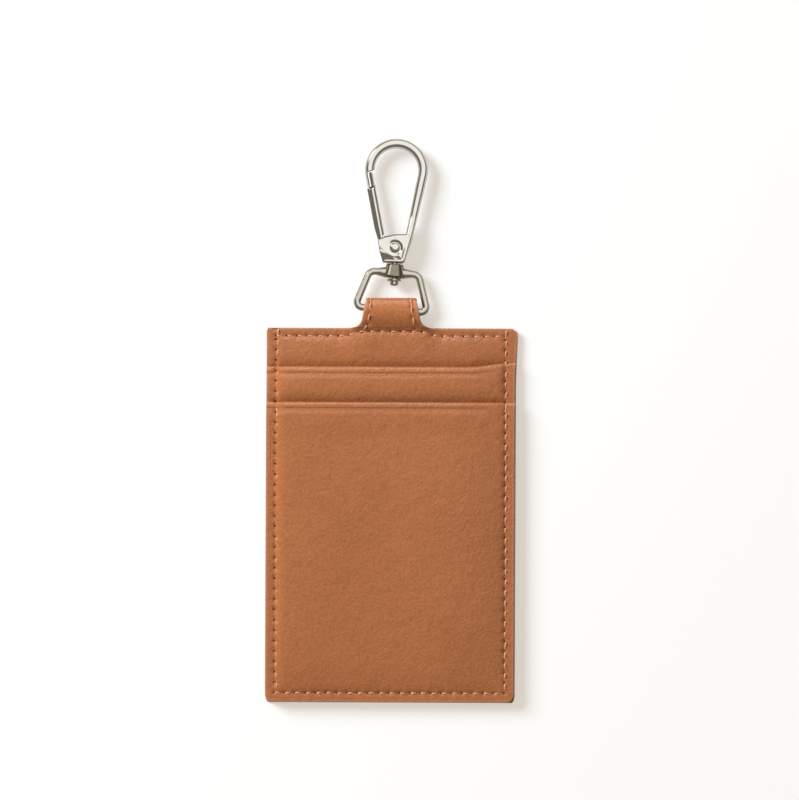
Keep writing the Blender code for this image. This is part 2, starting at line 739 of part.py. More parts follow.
def make_spring(parent):
    """Torsion spring on the rivet: one leg in the gate, one on the end of the slot."""
    gate_leg = on_arm(spring_leg_reach, gate_sheet + running_gap + spring_wire_radius)
    corner = ear_radius - spring_wire_radius - sheet_gap
    block_leg = (corner, -corner)
    start = tangent_angle(block_leg, spring_coil_radius, 1)
    end = tangent_angle(gate_leg, spring_coil_radius, -1) + math.tau * spring_turns
    room = gate_width / 2 - gate_sheet - spring_wire_radius - running_gap / 2
    coil = []
    for share in evenly(0.0, 1.0, 2 * arc_steps * spring_turns):
        angle = start + (end - start) * share
        coil.append((spring_coil_radius * math.cos(angle), rivet_y + spring_coil_radius * math.sin(angle),
                     room * (2 * share - 1)))
    points = [(block_leg[0], rivet_y + block_leg[1], -room)] + coil
    points.append((gate_leg[0], rivet_y + gate_leg[1], room))
    steel = new_material("spring_steel", (0.40, 0.39, 0.38), 0.3, 1.0)
    data = wire_mesh("gate_spring", points, spring_wire_radius, resolution=1)
    return add_part("gate_spring", data, parent, steel)


def build():
    body = new_empty("holder_origin", None, (0.0, -total_length / 2, 0.0))
    ring_axis = new_empty("ring_axis", body, (0.0, bar_y, hardware_z), ring_lean)
    swivel_axis = new_empty("swivel_axis", ring_axis, (0.0, boss_middle, 0.0), hook_lean - ring_lean)
    gate_axis = new_empty("gate_axis", swivel_axis, (0.0, rivet_y, 0.0))
    make_back_panel(body)
    make_stiffener(body)
    make_front_base(body)
    make_pockets(body)
    make_ring(ring_axis)
    make_washer(swivel_axis)
    make_pin(swivel_axis)
    make_hook_frame(swivel_axis)
    make_gate(gate_axis)
    make_rivet(swivel_axis)
    make_spring(swivel_axis)


for item in list(bpy.data.objects):
    bpy.data.objects.remove(item)
parts = new_collection("vertical_card_holder")
cutters = new_collection("cutters")
build()
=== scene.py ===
"""Looks of the vertical card holder: sewn tan leather on a swivelling nickel snap hook.

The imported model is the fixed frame. The leather is drawn again as full sheets with rolled
edges, pinched seams and thread, and the hardware as smooth nickel castings and wires.
All sizes are in metres. Heights on the leather are measured from the body's bottom edge.
"""

import json
import math
import random

import bmesh
import bpy
from mathutils import Matrix, Vector
from mathutils.kdtree import KDTree


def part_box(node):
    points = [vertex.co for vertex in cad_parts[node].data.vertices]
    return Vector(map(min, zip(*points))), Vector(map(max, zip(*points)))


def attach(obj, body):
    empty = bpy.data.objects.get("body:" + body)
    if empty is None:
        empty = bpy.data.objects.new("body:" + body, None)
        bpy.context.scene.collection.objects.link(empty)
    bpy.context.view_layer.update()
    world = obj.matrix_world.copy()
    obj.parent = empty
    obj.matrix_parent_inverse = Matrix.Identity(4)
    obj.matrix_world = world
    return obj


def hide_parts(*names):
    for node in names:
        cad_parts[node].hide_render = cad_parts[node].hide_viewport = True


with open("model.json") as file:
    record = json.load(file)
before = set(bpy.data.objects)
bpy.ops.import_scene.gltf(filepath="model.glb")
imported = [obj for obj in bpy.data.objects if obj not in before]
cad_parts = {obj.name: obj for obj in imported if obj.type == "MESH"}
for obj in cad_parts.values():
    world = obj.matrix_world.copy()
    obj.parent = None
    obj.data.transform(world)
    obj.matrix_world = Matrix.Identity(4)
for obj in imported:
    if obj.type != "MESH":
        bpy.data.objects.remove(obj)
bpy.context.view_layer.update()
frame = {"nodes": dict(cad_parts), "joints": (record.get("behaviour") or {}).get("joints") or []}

# The camera and the studio
frame_height = 0.2247
lens = 85.0
sensor = 36.0
view_centre_x = 0.002467
view_centre_along = 0.08484
view_level = 0.0040
view_roll = math.radians(0.25)
key_direction = (-0.72, 0.475, 0.525)
key_distance = 1.3
key_size = 0.685
key_level = 0.71
window_direction = (-0.12, 1.00, 0.80)
window_distance = 1.0
window_size = 0.56
window_level = 7.0
fill_colour = (0.33, 0.315, 0.285, 1.0)
room_colour = (0.20, 0.18, 0.155, 1.0)
table_size = 3.0
table_glow = (0.540, 0.490, 0.425, 1.0)
table_tone = (0.50, 0.55, 0.62, 1.0)

# What polished and glossy faces see overhead: direction, inner and outer reach in degrees, colour
overhead_lights = [((0.14, 0.46, 1.0), 28, 46, (0.98, 0.98, 0.96, 1.0)),
                   ((-0.66, 0.51, 0.56), 6, 15, (2.6, 2.5, 2.35, 1.0))]

# Leather body, as seen
top_overhang = 0.00012
body_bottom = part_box("back_panel")[0].y
body_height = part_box("back_panel")[1].y - body_bottom + top_overhang
left_edge = -0.0350
right_edge = 0.03508
right_flare = 0.0005
flare_start = 0.088
bottom_corner = 0.0025
top_corner_left = 0.0003
top_corner_right = 0.0013
leather = 0.00096
edge_roll = 0.00030
edge_paint_and_sheen = 0.00105
# Reach of the edge paint, lighter than the leather: partly real edge paint, partly painted sheen of the
# rolled edges
back_level = 0.0009
layer_step = 0.0010
front_edge = 0.0842
upper_edge = 0.0942

# How far each sheet stays inside the body's outline: left, right, bottom
insets = {"back": (-0.00015, -0.00030, -0.00070), "base": (-0.00010, -0.00020, -0.00050),
          "upper": (-0.00005, 0.0, -0.00035), "front": (-0.00005, 0.00012, -0.00020)}
inset_fade = 0.0030

# Seams. The tab's needle holes are listed one by one, as they are in the photo.
left_seam = -0.03238
right_seam = 0.03228
bottom_seam = 0.00242
top_seam = 0.1028
top_seam_at_tab = 0.1041
top_seam_bend = (0.0085, 0.0130)
tab_seams = {
    "tab_left": [(-0.00565, 0.1133), (-0.00575, 0.1122), (-0.00600, 0.1089),
                 (-0.00665, 0.1060), (-0.00825, 0.1038)],
    "tab_right": [(0.00545, 0.1133), (0.00567, 0.1111), (0.00600, 0.1079), (0.00700, 0.1049)]}
seam_start = 0.0004
seam_sampling = 0.0001
stitch_pitch = 0.00295
thread_radius = 0.00026
stitch_rise = 0.00110
stitch_sag = -0.00040
stitch_dive = 0.00042
stitch_aside = {"left": 0.00058, "right": 0.00012}
stitch_depth = {"left": 0.00016, "right": 0.00020, "bottom": 0.00030, "top": 0.00036}
tab_stitch_depth = 0.00020
back_stitch_level = 0.00032
stitch_slant = {"right": -0.12, "left": -0.08}
slant_spread = 0.07
slant_seed = 7
stitch_seed = 11
stitch_stretch = (0.92, 1.06)
stitch_wander = 0.00009
depth_wander = 0.00007
groove_depth = 0.00009
groove_reach = 0.00070
groove_share = 0.5
hole_depth = 0.00042
hole_reach = 0.00036
pucker_depth = 0.00012
pucker_reach = 0.00150

# Grid of the sheets, finer at the edges, the seams and the lips
grid = 0.00085
plain_grid = 0.004
base_grid = 0.002
base_rows_end = 0.1010
top_rows_start = 0.1015
top_rows_margin = 0.0010
top_seam_margin = 0.0009
same_place = 0.00001
edge_lines = [0.0005, 0.0008]
band_reach = 0.00080
band_width = 2.01 * band_reach
band_margin = 0.0023
corner_bend = (0.0330, 0.0350)
flare_bend = (0.0200, 0.0350)
last_plain_row = 0.1030
hem_rows = 0.0095
covered_rows = 0.0030
lip_rows_start = 0.0031

# Swell of each sheet over the one under it. The rises from a seam are (share, reach) pairs.
base_swell = 0.0006
upper_swell = 0.0003
front_swell = 0.00064
front_fill = 0.030
front_fill_start = 0.45
left_rise = [(0.62, 0.0028), (0.38, 0.0115)]
right_rise = [(0.10, 0.0024), (0.90, 0.0175)]
bottom_rise = [(0.14, 0.0026), (0.26, 0.0085), (0.60, 0.0330)]
top_seam_reach = 0.0042
margin_reach = 0.0030
hem_swell = 0.00012
hem_width = 0.0078
hem_softness = 0.0022
mouth_sink = 0.00062
mouth_reach = 0.0042
mouth_floor = 0.0045
mouth_steepness = 3.2
margin_sink_left = 0.8
margin_sink_right = 0.15
strip_bulge = 0.00028
strip_margin = 0.0005
upper_back = 0.0985
lip_width = 0.00095
lip_height = 0.00050
lip_drop = 0.00026
lip_fall_reach = 0.0046
lip_bend = 0.00125
lip_bend_span = (0.0215, 0.0345)
lip_bend_depth = 0.006
crease_inset = {upper_edge: 0.00190, front_edge: 0.00180}
crease_depth = 0.00017
crease_reach = 0.00048
crease_tail = 0.00170
crease_end = (0.0240, 0.0300)

# Tab over the ring's bar
tab_half_width = 0.0081
tab_fold_half_width = 0.0072
tab_fillet = 0.0032
tab_length = 0.00848
tab_root = tab_half_width + tab_fillet
tab_start = 0.10400
tab_lift = 0.00056
tab_packing = 0.00045
packing_span = (0.0900, 0.1035)
tab_shoulder = 0.0035
tab_hold = 0.27
tab_turn = 0.65
tab_step = 0.0004
tab_margin = 0.0001
tab_relief = 0.5
tab_blend_depth = 0.002
tab_blend_width = 0.0004
slope_step = 0.0002
tab_seam_span = (0.0060, 0.0112)
tab_seam_sections = 23
fold_radius = 0.00145
fold_leather = 0.00078
thinning_sections = (2.0, 16.0)
tail_gap = 0.00012
tab_tuck = 0.0030
tab_crest = math.radians(20)
# Where the painted light on the tab fades in, about the body's top edge
tab_light_span = (-0.0005, 0.0035)


def ease(value, start, end):
    """Rises smoothly from 0 at start to 1 at end."""
    share = min(max((value - start) / (end - start), 0.0), 1.0)
    return share * share * (3 - 2 * share)


def bell(distance, reach):
    """A round dent's profile: 1 at its middle, 0 from its reach on."""
    share = min(distance / reach, 1.0)
    return (1 - share * share) ** 2


def swelling(distance, reach):
    """How far a sheet has risen at a distance inside its seam: steepest at the seam."""
    share = min(max(distance / reach, 0.0), 1.0)
    return share * (2 - share)


def risen(distance, rise):
    return sum(share * swelling(distance, reach) for share, reach in rise)


def rolled(distance, roll):
    """How far a rolled edge drops at a distance in from it."""
    near = max(roll - distance, 0.0)
    return roll - math.sqrt(max(roll * roll - near * near, 0.0))


def evenly(start, end, count):
    return [start + (end - start) * step / count for step in range(count + 1)]


def between(first, second, count):
    """Even places on the straight line from one place to another."""
    return list(zip(evenly(first[0], second[0], count), evenly(first[1], second[1], count)))


def in_order(*groups):
    places = []
    for place in sorted(value for group in groups for value in group):
        if not places or place - places[-1] > same_place:
            places.append(place)
    return places


def tree_of(points):
    """A search tree that finds the nearest of the points."""
    tree = KDTree(len(points))
    for number, point in enumerate(points):
        tree.insert((point[0], point[1], 0.0), number)
    tree.balance()
    return tree


def right_side(y):
    return right_edge + right_flare * ease(y, flare_start, body_height)


def corner_inset(y, side):
    """How far the rounded corners draw a side edge in at a height."""
    top = top_corner_left if side < 0 else top_corner_right
    return rolled(y, bottom_corner) + rolled(max(body_height - y, 0.0), top)


def edge_distance(x, y, sheet):
    """Distance in from the outline of a sheet, round its corners too."""
    left_in, right_in, bottom_in = insets[sheet]
    left = x - left_edge - left_in
    right = right_side(y) - right_in - x
    bottom = y - bottom_in
    top = body_height - y
    side, corner = (left, top_corner_left) if left < right else (right, top_corner_right)
    for end, radius in ((bottom, bottom_corner), (top, corner)):
        if side < radius and end < radius:
            return radius - math.hypot(radius - side, radius - end)
    return min(side, bottom, top)


def seam_height(x):
    """Height of the top seam, which climbs a little in front of the tab."""
    return top_seam_at_tab + (top_seam - top_seam_at_tab) * ease(abs(x), *top_seam_bend)


def seam_paths():
    """Each seam as its stitch holes in order, in body places."""
    def line(start, end):
        return between(start, end, round(math.dist(start, end) / stitch_pitch))
    high = body_height - seam_start
    width = right_seam - left_seam
    return {"left": line((left_seam, high), (left_seam, bottom_seam)),
            "right": line((right_seam, high), (right_seam, bottom_seam)),
            "bottom": line((left_seam, bottom_seam), (right_seam, bottom_seam)),
            "top": [(x, seam_height(x))
                    for x in evenly(left_seam, right_seam, round(width / stitch_pitch))],
            **tab_seams}


seams = seam_paths()
seam_points = []
for seam_path in seams.values():
    for first_hole, second_hole in zip(seam_path, seam_path[1:]):
        hole_steps = max(int(math.dist(first_hole, second_hole) / seam_sampling), 1)
        seam_points += between(first_hole, second_hole, hole_steps)[:-1]
hole_tree = tree_of([hole for seam_path in seams.values() for hole in seam_path])
line_tree = tree_of(seam_points)


def seam_dent(x, y):
    """Depth of the seam's groove and holes at a place, and how much of a hole it is, which also masks
    the painted shade in the holes.
    """
    away = hole_tree.find((x, y, 0.0))[2]
    if away > pucker_reach:
        return 0.0, 0.0
    line = line_tree.find((x, y, 0.0))[2]
    hole = bell(away, hole_reach)
    pucker = bell(away, pucker_reach)
    groove = groove_depth * bell(line, groove_reach)
    groove *= groove_share + (1 - groove_share) * pucker
    return groove + hole_depth * hole + pucker_depth * pucker, hole


def side_swell(x, y):
    """Share of the full swell at a place, from the side seams and the bottom seam."""
    sides = risen(x - left_seam, left_rise) * risen(right_seam - x, right_rise)
    return sides * risen(y - bottom_seam, bottom_rise)


def margin_fade(x):
    """Rises from 0 at the side seams to 1 over the pockets."""
    return swelling(x - left_seam, margin_reach) * swelling(right_seam - x, margin_reach)


def mouth(x, y, edge):
    """How far a sheet has sunk into the pocket whose edge lies at a height. Deeper in the
    pocket it comes back up, so that the sewn sheets lie on each other."""
    share = min(max((y - edge) / mouth_reach, 0.0), 1.0)
    sewn = margin_sink_left if x < 0.0 else margin_sink_right
    sunk = mouth_sink * (1 - share) ** mouth_steepness * (sewn + (1 - sewn) * margin_fade(x))
    return sunk * (1 - ease(edge - y, mouth_floor, 3 * mouth_floor))


def bent_edge(x):
    """Height of the upper pocket's edge, which bends up at the right."""
    return upper_edge + lip_bend * ease(x, *lip_bend_span)


def base_level(x, y):
    """Level of the base leather without its dip into the pocket."""
    near_tab = 1 - ease(abs(x), tab_half_width, tab_root + tab_shoulder)
    rise = swelling(seam_height(x) - y, top_seam_reach)
    climb = max(y - tab_start, 0.0) / (body_height - tab_start)
    lift = base_swell * side_swell(x, y) * (rise + tab_relief * (1 - rise) * near_tab)
    lift += near_tab * (tab_lift * climb + tab_packing * ease(y, *packing_span))
    return back_level + layer_step + lift


def base_top(x, y):
    return base_level(x, y) - max(mouth(x, y, bent_edge(x)), mouth(x, y, front_edge))


def lip_shape(x, y, edge):
    """A pocket's turned hem, the crease pressed along it, and its fall towards the lip."""
    behind = edge - y
    hem = 1 - ease(behind, hem_width - hem_softness, hem_width + hem_softness)
    away = behind - crease_inset[edge]
    crease = bell(abs(away), crease_tail if away > 0.0 else crease_reach)
    fall = 1 - min(max(behind / lip_fall_reach, 0.0), 1.0)
    return (hem_swell * hem * side_swell(x, y) - lip_drop * fall ** 2
            - crease_depth * crease * (1 - ease(x, *crease_end)))


def upper_level(x, y):
    middle = (front_edge + upper_edge - strip_margin) / 2
    bulge = max(1 - ((y - middle) / (upper_edge - middle)) ** 2, 0.0) * margin_fade(x)
    return (base_level(x, min(y, upper_back)) + layer_step + upper_swell * side_swell(x, y)
            + lip_shape(x, y, upper_edge) + strip_bulge * bulge)


def upper_top(x, y):
    return upper_level(x, y) - mouth(x, y, front_edge)


def front_top(x, y):
    share = side_swell(x, y)
    full = front_fill_start + (1 - front_fill_start) * ease(front_edge - y, 0.0, front_fill)
    return (back_level + 3 * layer_step + (base_swell + upper_swell) * share
            + front_swell * share * full + lip_shape(x, y, front_edge))


def surface(x, y):
    """The uppermost sheet's level at a place."""
    if y < front_edge:
        return front_top(x, y)
    if y < bent_edge(x):
        return upper_top(x, y)
    return base_top(x, y)


def edge_places():
    """Distances in from an edge that follow its rolled profile."""
    return [edge_roll * (1 - math.cos(angle)) for angle in evenly(0.0, math.pi / 2, 5)] + edge_lines


def band(middle):
    """Grid lines on both sides of a seam, to be refined for its groove and holes."""
    return [middle + step * band_reach for step in (-2, -1, 0, 1, 2)]


def side_columns(spacing=grid):
    left = [left_edge + place for place in edge_places()] + band(left_seam)
    right = [right_edge - place for place in edge_places()] + band(right_seam)
    start, end = left_seam + band_margin, right_seam - band_margin
    return in_order(left, right, evenly(start, end, round((end - start) / spacing)))


def body_rows(end, spacing=grid):
    start = bottom_seam + band_margin
    return in_order(edge_places(), band(bottom_seam),
                    evenly(start, end, round((end - start) / spacing)))


def lip_rows(edge):
    roll = [lip_width * (1 - math.cos(angle)) for angle in evenly(0.0, math.pi / 2, 8)]
    above = [crease_inset[edge] - crease_reach * share for share in (1.0, 0.75, 0.5, 0.25, 0.0)]
    below = [crease_inset[edge] + crease_tail * share for share in (0.15, 0.3, 0.45, 0.6, 0.8, 1.0)]
    return [edge - place for place in in_order(roll, above, below)]


def always(_):
    return True


def on_side_seam(centre):
    return min(abs(centre.x - left_seam), abs(centre.x - right_seam)) < band_width


def on_outline(column, row, sheet):
    """Place of a grid corner, which follows the body's sides and corners near them, and its
    distance in from the sheet's edge."""
    left_in, right_in, bottom_in = insets[sheet]
    side = -1 if column < 0 else 1
    flare = right_side(row) - right_edge if side > 0 else 0.0
    low = corner_inset(max(row - bottom_in, 0.0), side) + (left_in if side < 0 else right_in)
    near = ease(abs(column), *corner_bend)
    x = column + side * (flare * ease(abs(column), *flare_bend) - low * near)
    y = row + bottom_in * (1 - ease(row, 0.0, inset_fade))
    return x, y, max(edge_distance(x, y, sheet), 0.0)


def sheet_position(sheet, top, edge=None):
    """The position rule of a sheet: its outline, its level and its rolled edges."""
    def position(column, row, under):
        x, y, distance = on_outline(column, row, sheet)
        bend = 0.0
        if sheet == "upper":
            bend = (bent_edge(x) - edge) * ease(row, edge - lip_bend_depth, edge)
        drop = rolled(distance, edge_roll)
        # Edge paint, partly painted sheen, fading in from the edge
        paint_and_sheen = bell(distance, edge_paint_and_sheen)
        level = top(x, y)
        if edge is not None and edge - row < lip_width:
            share = 1 - (edge - row) / lip_width
            lip = leather / 2 if under else lip_height
            drop = max(drop, (1 - math.sqrt(max(1 - share * share, 0.0))) * lip)
        if under:
            return (x, y + bend + body_bottom, level - leather + drop), 0.0, paint_and_sheen
        dent, hole = seam_dent(x, y + bend)
        return (x, y + bend + body_bottom, level - drop - dent), hole, paint_and_sheen
    return position


def new_sheet(name, columns, rows, position, bands):
    """A closed sheet over a grid: a position rule gives every corner of its two faces."""
    mesh = bmesh.new()
    level = mesh.verts.layers.float.new("level")
    corners = [[mesh.verts.new((x, y, 0.0)) if keep(x) else None for x in columns]
               for y, keep in rows]
    for low, high in zip(corners, corners[1:]):
        for square in zip(low, low[1:], high[1:], high):
            if None not in square:
                mesh.faces.new(square)
    top_faces = list(mesh.faces)
    lower = bmesh.ops.extrude_face_region(mesh, geom=top_faces, use_keep_orig=True)
    for vertex in lower["geom"]:
        if isinstance(vertex, bmesh.types.BMVert):
            vertex[level] = 1.0
    for in_band, cuts in bands:
        chosen = [face for face in top_faces if in_band(face.calc_center_median())]
        top_faces = [face for face in top_faces if not in_band(face.calc_center_median())]
        fine = {edge for face in chosen for edge in face.edges}
        bmesh.ops.subdivide_edges(mesh, edges=list(fine), cuts=cuts, use_grid_fill=True)
    # Masks of the painted shade in the needle holes, and of the edge paint with its painted sheen
    hole = mesh.verts.layers.float.new("needle_hole_shade")
    edge = mesh.verts.layers.float.new("cut_edge_paint_and_sheen")
    for vertex in mesh.verts:
        under = vertex[level] > 0.5
        vertex.co, vertex[hole], vertex[edge] = position(vertex.co.x, vertex.co.y, under)
    return finished(mesh, name, Matrix(), doubles=0.0)


def put_in_scene(name, data):
    item = bpy.data.objects.new(name, data)
    bpy.context.scene.collection.objects.link(item)
    return item


def add_piece(name, data, body, material, replaced=()):
    piece = put_in_scene(name, data)
    data.materials.clear()
    data.materials.append(material)
    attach(piece, body)
    if replaced:
        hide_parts(*replaced)
    return piece


def make_back(material):
    """The plain back leather, flat on the table."""
    def position(column, row, under):
        x, y, distance = on_outline(column, row, "back")
        drop = rolled(distance, edge_roll)
        level = drop if under else back_level - drop
        # The edge paint, partly painted sheen, fades in from the edge
        return (x, y + body_bottom, level), 0.0, bell(distance, edge_paint_and_sheen)
    rows = in_order(body_rows(last_plain_row, plain_grid),
                    [body_height - place for place in edge_places()])
    data = new_sheet("back_leather_sheet", side_columns(plain_grid),
                     [(y, always) for y in rows], position, [])
    return add_piece("back_leather_sheet", data, "holder", material, ["back_panel"])


def make_pocket(name, sheet, top, edge, node, material):
    """A pocket's sheet. The upper one is plain where the front one covers it."""
    shown = edge - hem_rows
    if sheet == "front":
        below = body_rows(shown)
    else:
        shown = front_edge - covered_rows
        below = body_rows(shown, plain_grid) + evenly(shown, edge - covered_rows, 14)
    rows = in_order(below, evenly(edge - hem_rows, edge - lip_rows_start, 10), lip_rows(edge))

    def in_band(centre):
        if sheet != "front":
            return on_side_seam(centre) and centre.y > shown
        low = abs(centre.y - bottom_seam) < band_width and left_seam < centre.x < right_seam
        return on_side_seam(centre) or low
    data = new_sheet(name, side_columns(), [(y, always) for y in rows],
                     sheet_position(sheet, top, edge), [(in_band, 4)])
    return add_piece(name, data, "holder", material, [node])


ring_joint = next(joint for joint in frame["joints"] if joint["name"] == "ring_swing")
swivel_joint = next(joint for joint in frame["joints"] if joint["name"] == "hook_swivel")
bar = Vector(ring_joint["pos_m"])
fold_centre = body_height + tab_length - fold_radius - fold_leather / 2
fold_start = fold_centre + fold_radius * math.sin(tab_crest)


def tab_width(rise):
    """Half width of the tab at a height above the body's top edge."""
    if rise < 0.0:
        return tab_root
    if rise < tab_fillet:
        return tab_root - math.sqrt(tab_fillet ** 2 - (tab_fillet - rise) ** 2)
    narrowing = min((rise - tab_fillet) / (tab_length - tab_fillet - fold_radius), 1.0)
    return tab_half_width + (tab_fold_half_width - tab_half_width) * narrowing


def tab_climb(height):
    """Level and slope of the tab's middle line, from its root to where the fold takes over:
    the slope holds at first, and then changes in two even stretches to the fold's."""
    end = fold_start - body_height
    share = min(max((height - body_height) / end, 0.0), 1.0)
    root = base_level(0.0, body_height)
    first = (root - base_level(0.0, body_height - slope_step)) / slope_step
    root -= leather / 2
    last = -math.tan(tab_crest)
    rise = (bar.z + fold_radius * math.cos(tab_crest) - root) / end
    middle = rise - first * (tab_hold + tab_turn) / 2 - last * (1 - tab_turn) / 2
    middle /= (1 - tab_hold) / 2
    knots = [(0.0, first), (tab_hold, first), (tab_turn, middle), (1.0, last)]
    level = root
    slope = first
    for (start, low), (stop, high) in zip(knots, knots[1:]):
        if share > start:
            reach = min(share, stop) - start
            slope = low + (high - low) * reach / (stop - start)
            level += end * reach * (low + slope) / 2
    return level, slope


def tab_line():
    """Middle line of the tab as (height, level, along, up, turned back) sections."""
    back = bar.z - fold_radius
    tail = back_level + tail_gap + leather / 2
    sections = []
    for height in evenly(body_height, fold_start, 22)[1:-1]:
        level, slope = tab_climb(height)
        length = math.hypot(1.0, slope)
        sections.append((height, level, 1 / length, slope / length, False))
    for angle in evenly(tab_crest, math.pi, 20):
        across, up = math.sin(angle), math.cos(angle)
        sections.append((fold_centre + fold_radius * across, bar.z + fold_radius * up,
                         up, -across, angle > math.pi / 2))
    reach = fold_centre - body_height + tab_tuck
    for share in evenly(0.0, 1.0, 16)[1:]:
        slope = 6 * share * (1 - share) * (tail - back) / reach
        length = math.hypot(1.0, slope)
        sections.append((fold_centre - reach * share, back + (tail - back) * ease(share, 0.0, 1.0),
                         -1 / length, slope / length, True))
    return sections


def on_tab(column):
    return abs(column) < tab_root + tab_margin


def make_base(material):
    """The base leather, one piece with the tab folded over the ring's bar."""
    sections = tab_line()
    sides = [place for place in side_columns() if abs(place) > tab_root + 3 * tab_margin]
    shown = upper_edge - base_grid
    rows = in_order(body_rows(shown - base_grid, base_grid), evenly(shown, base_rows_end, 15),
                    evenly(top_rows_start, body_height - top_rows_margin, 5),
                    [body_height - place for place in edge_places()])
    rows = [(y, always) for y in rows]
    rows += [(body_height + tab_step * (number + 1), on_tab) for number in range(len(sections))]
    flat = sheet_position("base", base_top)

    def tab_place(column, place, under):
        number = min(int(place), len(sections) - 2)
        first, second = sections[number], sections[number + 1]
        height, level, along, up = (low + (high - low) * (place - number)
                                    for low, high in zip(first[:4], second[:4]))
        turned = second[4]
        rise = max(height - body_height, tab_fillet) if turned else height - body_height
        width = tab_width(rise)
        x = column / tab_root * width
        drop = rolled(width - abs(x), edge_roll)
        dent, hole = (0.0, 0.0) if under or turned else seam_dent(x, height)
        half = (leather - (leather - fold_leather) * ease(place, *thinning_sections)) / 2
        offset = (drop - half) if under else (half - drop - dent)
        # Edge paint on the tab, partly painted sheen
        paint_and_sheen = bell(width - abs(x), edge_paint_and_sheen)
        return (x, height - up * offset + body_bottom, level + along * offset), hole, paint_and_sheen

    def position(column, row, under):
        rise = (row - body_height) / tab_step
        if row >= body_height + tab_step:
            return tab_place(column, rise - 1, under)
        place, hole, cut = flat(column, min(row, body_height), under)
        if on_tab(column) and row > body_height - tab_blend_depth:
            y = min(row, body_height)
            dent, hole = (0.0, 0.0) if under else seam_dent(column, y)
            outside = 1 - min(max((tab_root - abs(column)) / tab_blend_width, 0.0), 1.0)
            drop = rolled(body_height - y, edge_roll) * outside
            level = base_top(column, y) - (leather - drop if under else dent + drop)
            root = Vector((column, y + body_bottom, level))
            cut *= outside
            if rise > 0.0:
                root = root.lerp(Vector(tab_place(column, 0.0, under)[0]), rise)
            place = tuple(root)
        return place, hole, cut

    def at_body_seam(centre):
        if not shown < centre.y < body_height - top_seam_margin:
            return False
        return on_side_seam(centre) or centre.y > top_rows_start

    def at_tab_seam(centre):
        rise = (centre.y - body_height) / tab_step
        low, high = tab_seam_span
        return 0.0 < rise < tab_seam_sections and low < abs(centre.x) < high
    data = new_sheet("base_leather_sheet", in_order(sides, evenly(-tab_root, tab_root, 40)), rows,
                     position, [(at_body_seam, 4), (at_tab_seam, 3)])
    # Painted light: a paler tone over the tab, where its slope alone leaves it too dark
    tab_painted_light = data.attributes.new("tab_painted_light", "FLOAT", "POINT")
    low, high = (body_height + place for place in tab_light_span)
    tab_painted_light.data.foreach_set("value", [ease(vertex.co.y - body_bottom, low, high)
                                         for vertex in data.vertices])
    return add_piece("base_leather_sheet", data, "holder", material, ["front_base"])


# Ring and the boss cast on its shoulders, from the middle of the ring's bar
ring_wire = 0.0010
ring_bar_vertex = 0.0103
ring_shoulder_vertex = 0.0069
ring_height = 0.0104
ring_bar_corner = 0.0015
ring_shoulder_corner = 0.0021
ring_root_growth = 0.35
ring_root_shares = (0.02, 0.075)
ring_spacing = 0.0003
boss_foot = 0.0090
boss_top = 0.01285
boss_foot_radius = 0.00325
boss_top_radius = 0.0024
boss_squash = 0.82
boss_taper = 1.15
boss_edge = 0.0001
bore_radius = 0.0012

# Swivel pin and washer, from the swivel's own place
washer_top = -0.00215
washer_thickness = 0.0006
washer_radius = 0.0019
pin_radius = 0.0009
pin_head_radius = 0.0012
pin_head_top = -0.00295
pin_head_height = 0.0012
pin_dome_share = 0.45
pin_grip = 0.0015
turned_edge = 0.00012

# Hook, from the swivel's own place. Corners are (x, y, radius).
block_base = 0.00235
block_corners = [(-0.00335, 0.00235, 0.0006), (0.00258, 0.00270, 0.0006), (0.00425, 0.01048, 0.0005),
                 (0.0037, 0.01048, 0.0), (0.0019, 0.01048, 0.0), (0.0004, 0.01040, 0.0),
                 (-0.0010, 0.01022, 0.0), (-0.0022, 0.00992, 0.0), (-0.00305, 0.00975, 0.0005),
                 (-0.00490, 0.00874, 0.0005), (-0.00432, 0.00545, 0.0040)]
rib_corners = [(-0.00262, 0.00280, 0.0), (0.00230, 0.00280, 0.0009), (0.00408, 0.01040, 0.0)]

# The block's face: it rolls off more at its top edge, slumps towards the left of its foot, and
# lies as low as the rivet's dish on its left side.
plate_level = 0.00236
plate_spacing = 0.00012
plate_roll = 0.00024
plate_top_roll = 0.0009
plate_top_heights = (0.0078, 0.0094)
plate_top_sides = (0.0026, 0.0036)
plate_fall = 0.00052
plate_fall_heights = (0.0046, 0.0070)
plate_reach = 0.0021
rivet_height = 0.00645
slump_direction = Vector((0.49, 0.87, 0.0))
slump_start = 0.0021
slump_rate = 200.0
slump_bend = 0.0006
slump_fade = 0.0008
dish_direction = Vector((0.97, 0.24, 0.0))
dish_slope = (-0.0020, 0.0028)
dish_middle = 0.0004
dish_rim = 0.0002
dish_floor = 0.00155
dish_radius = 0.00235
dish_depth = 0.00038

# Slot for the gate, rib and bow
slot_floor = 0.00455
slot_end = 0.0019
slot_half_width = 0.0015
slot_reach = (0.010, 0.016)
foot_wire = 0.00040
foot_span = 0.0028
foot_height = 0.0033
rib_wire = 0.00064
rib_half_height = 0.00238
rib_end = (0.0086, 0.0158)
bow_line_radius = 0.00752
bow_wire = 0.00133
leg_wire = 0.00106
leg_growth = (0.0035, 0.0100)
bow_spacing = 0.00025
bow_centre = 0.02845
lean = math.radians(11.8)

# Section of every wire, as the power of its round: 2 is a circle, more is fuller. Its ends
# are drawn as caps of these angles.
wire_fullness = 2.35
cap_length_share = 0.7
cap_angles = (0.45, 0.85, 1.2, 1.45)

# Detail of what is turned, bent or merged, and where its edges stay sharp
turned_sides = 64
arc_steps = 8
merge_distance = 0.0000005
turned_sharp = math.radians(40)
cast_sharp = math.radians(38)
rivet_sharp = math.radians(50)

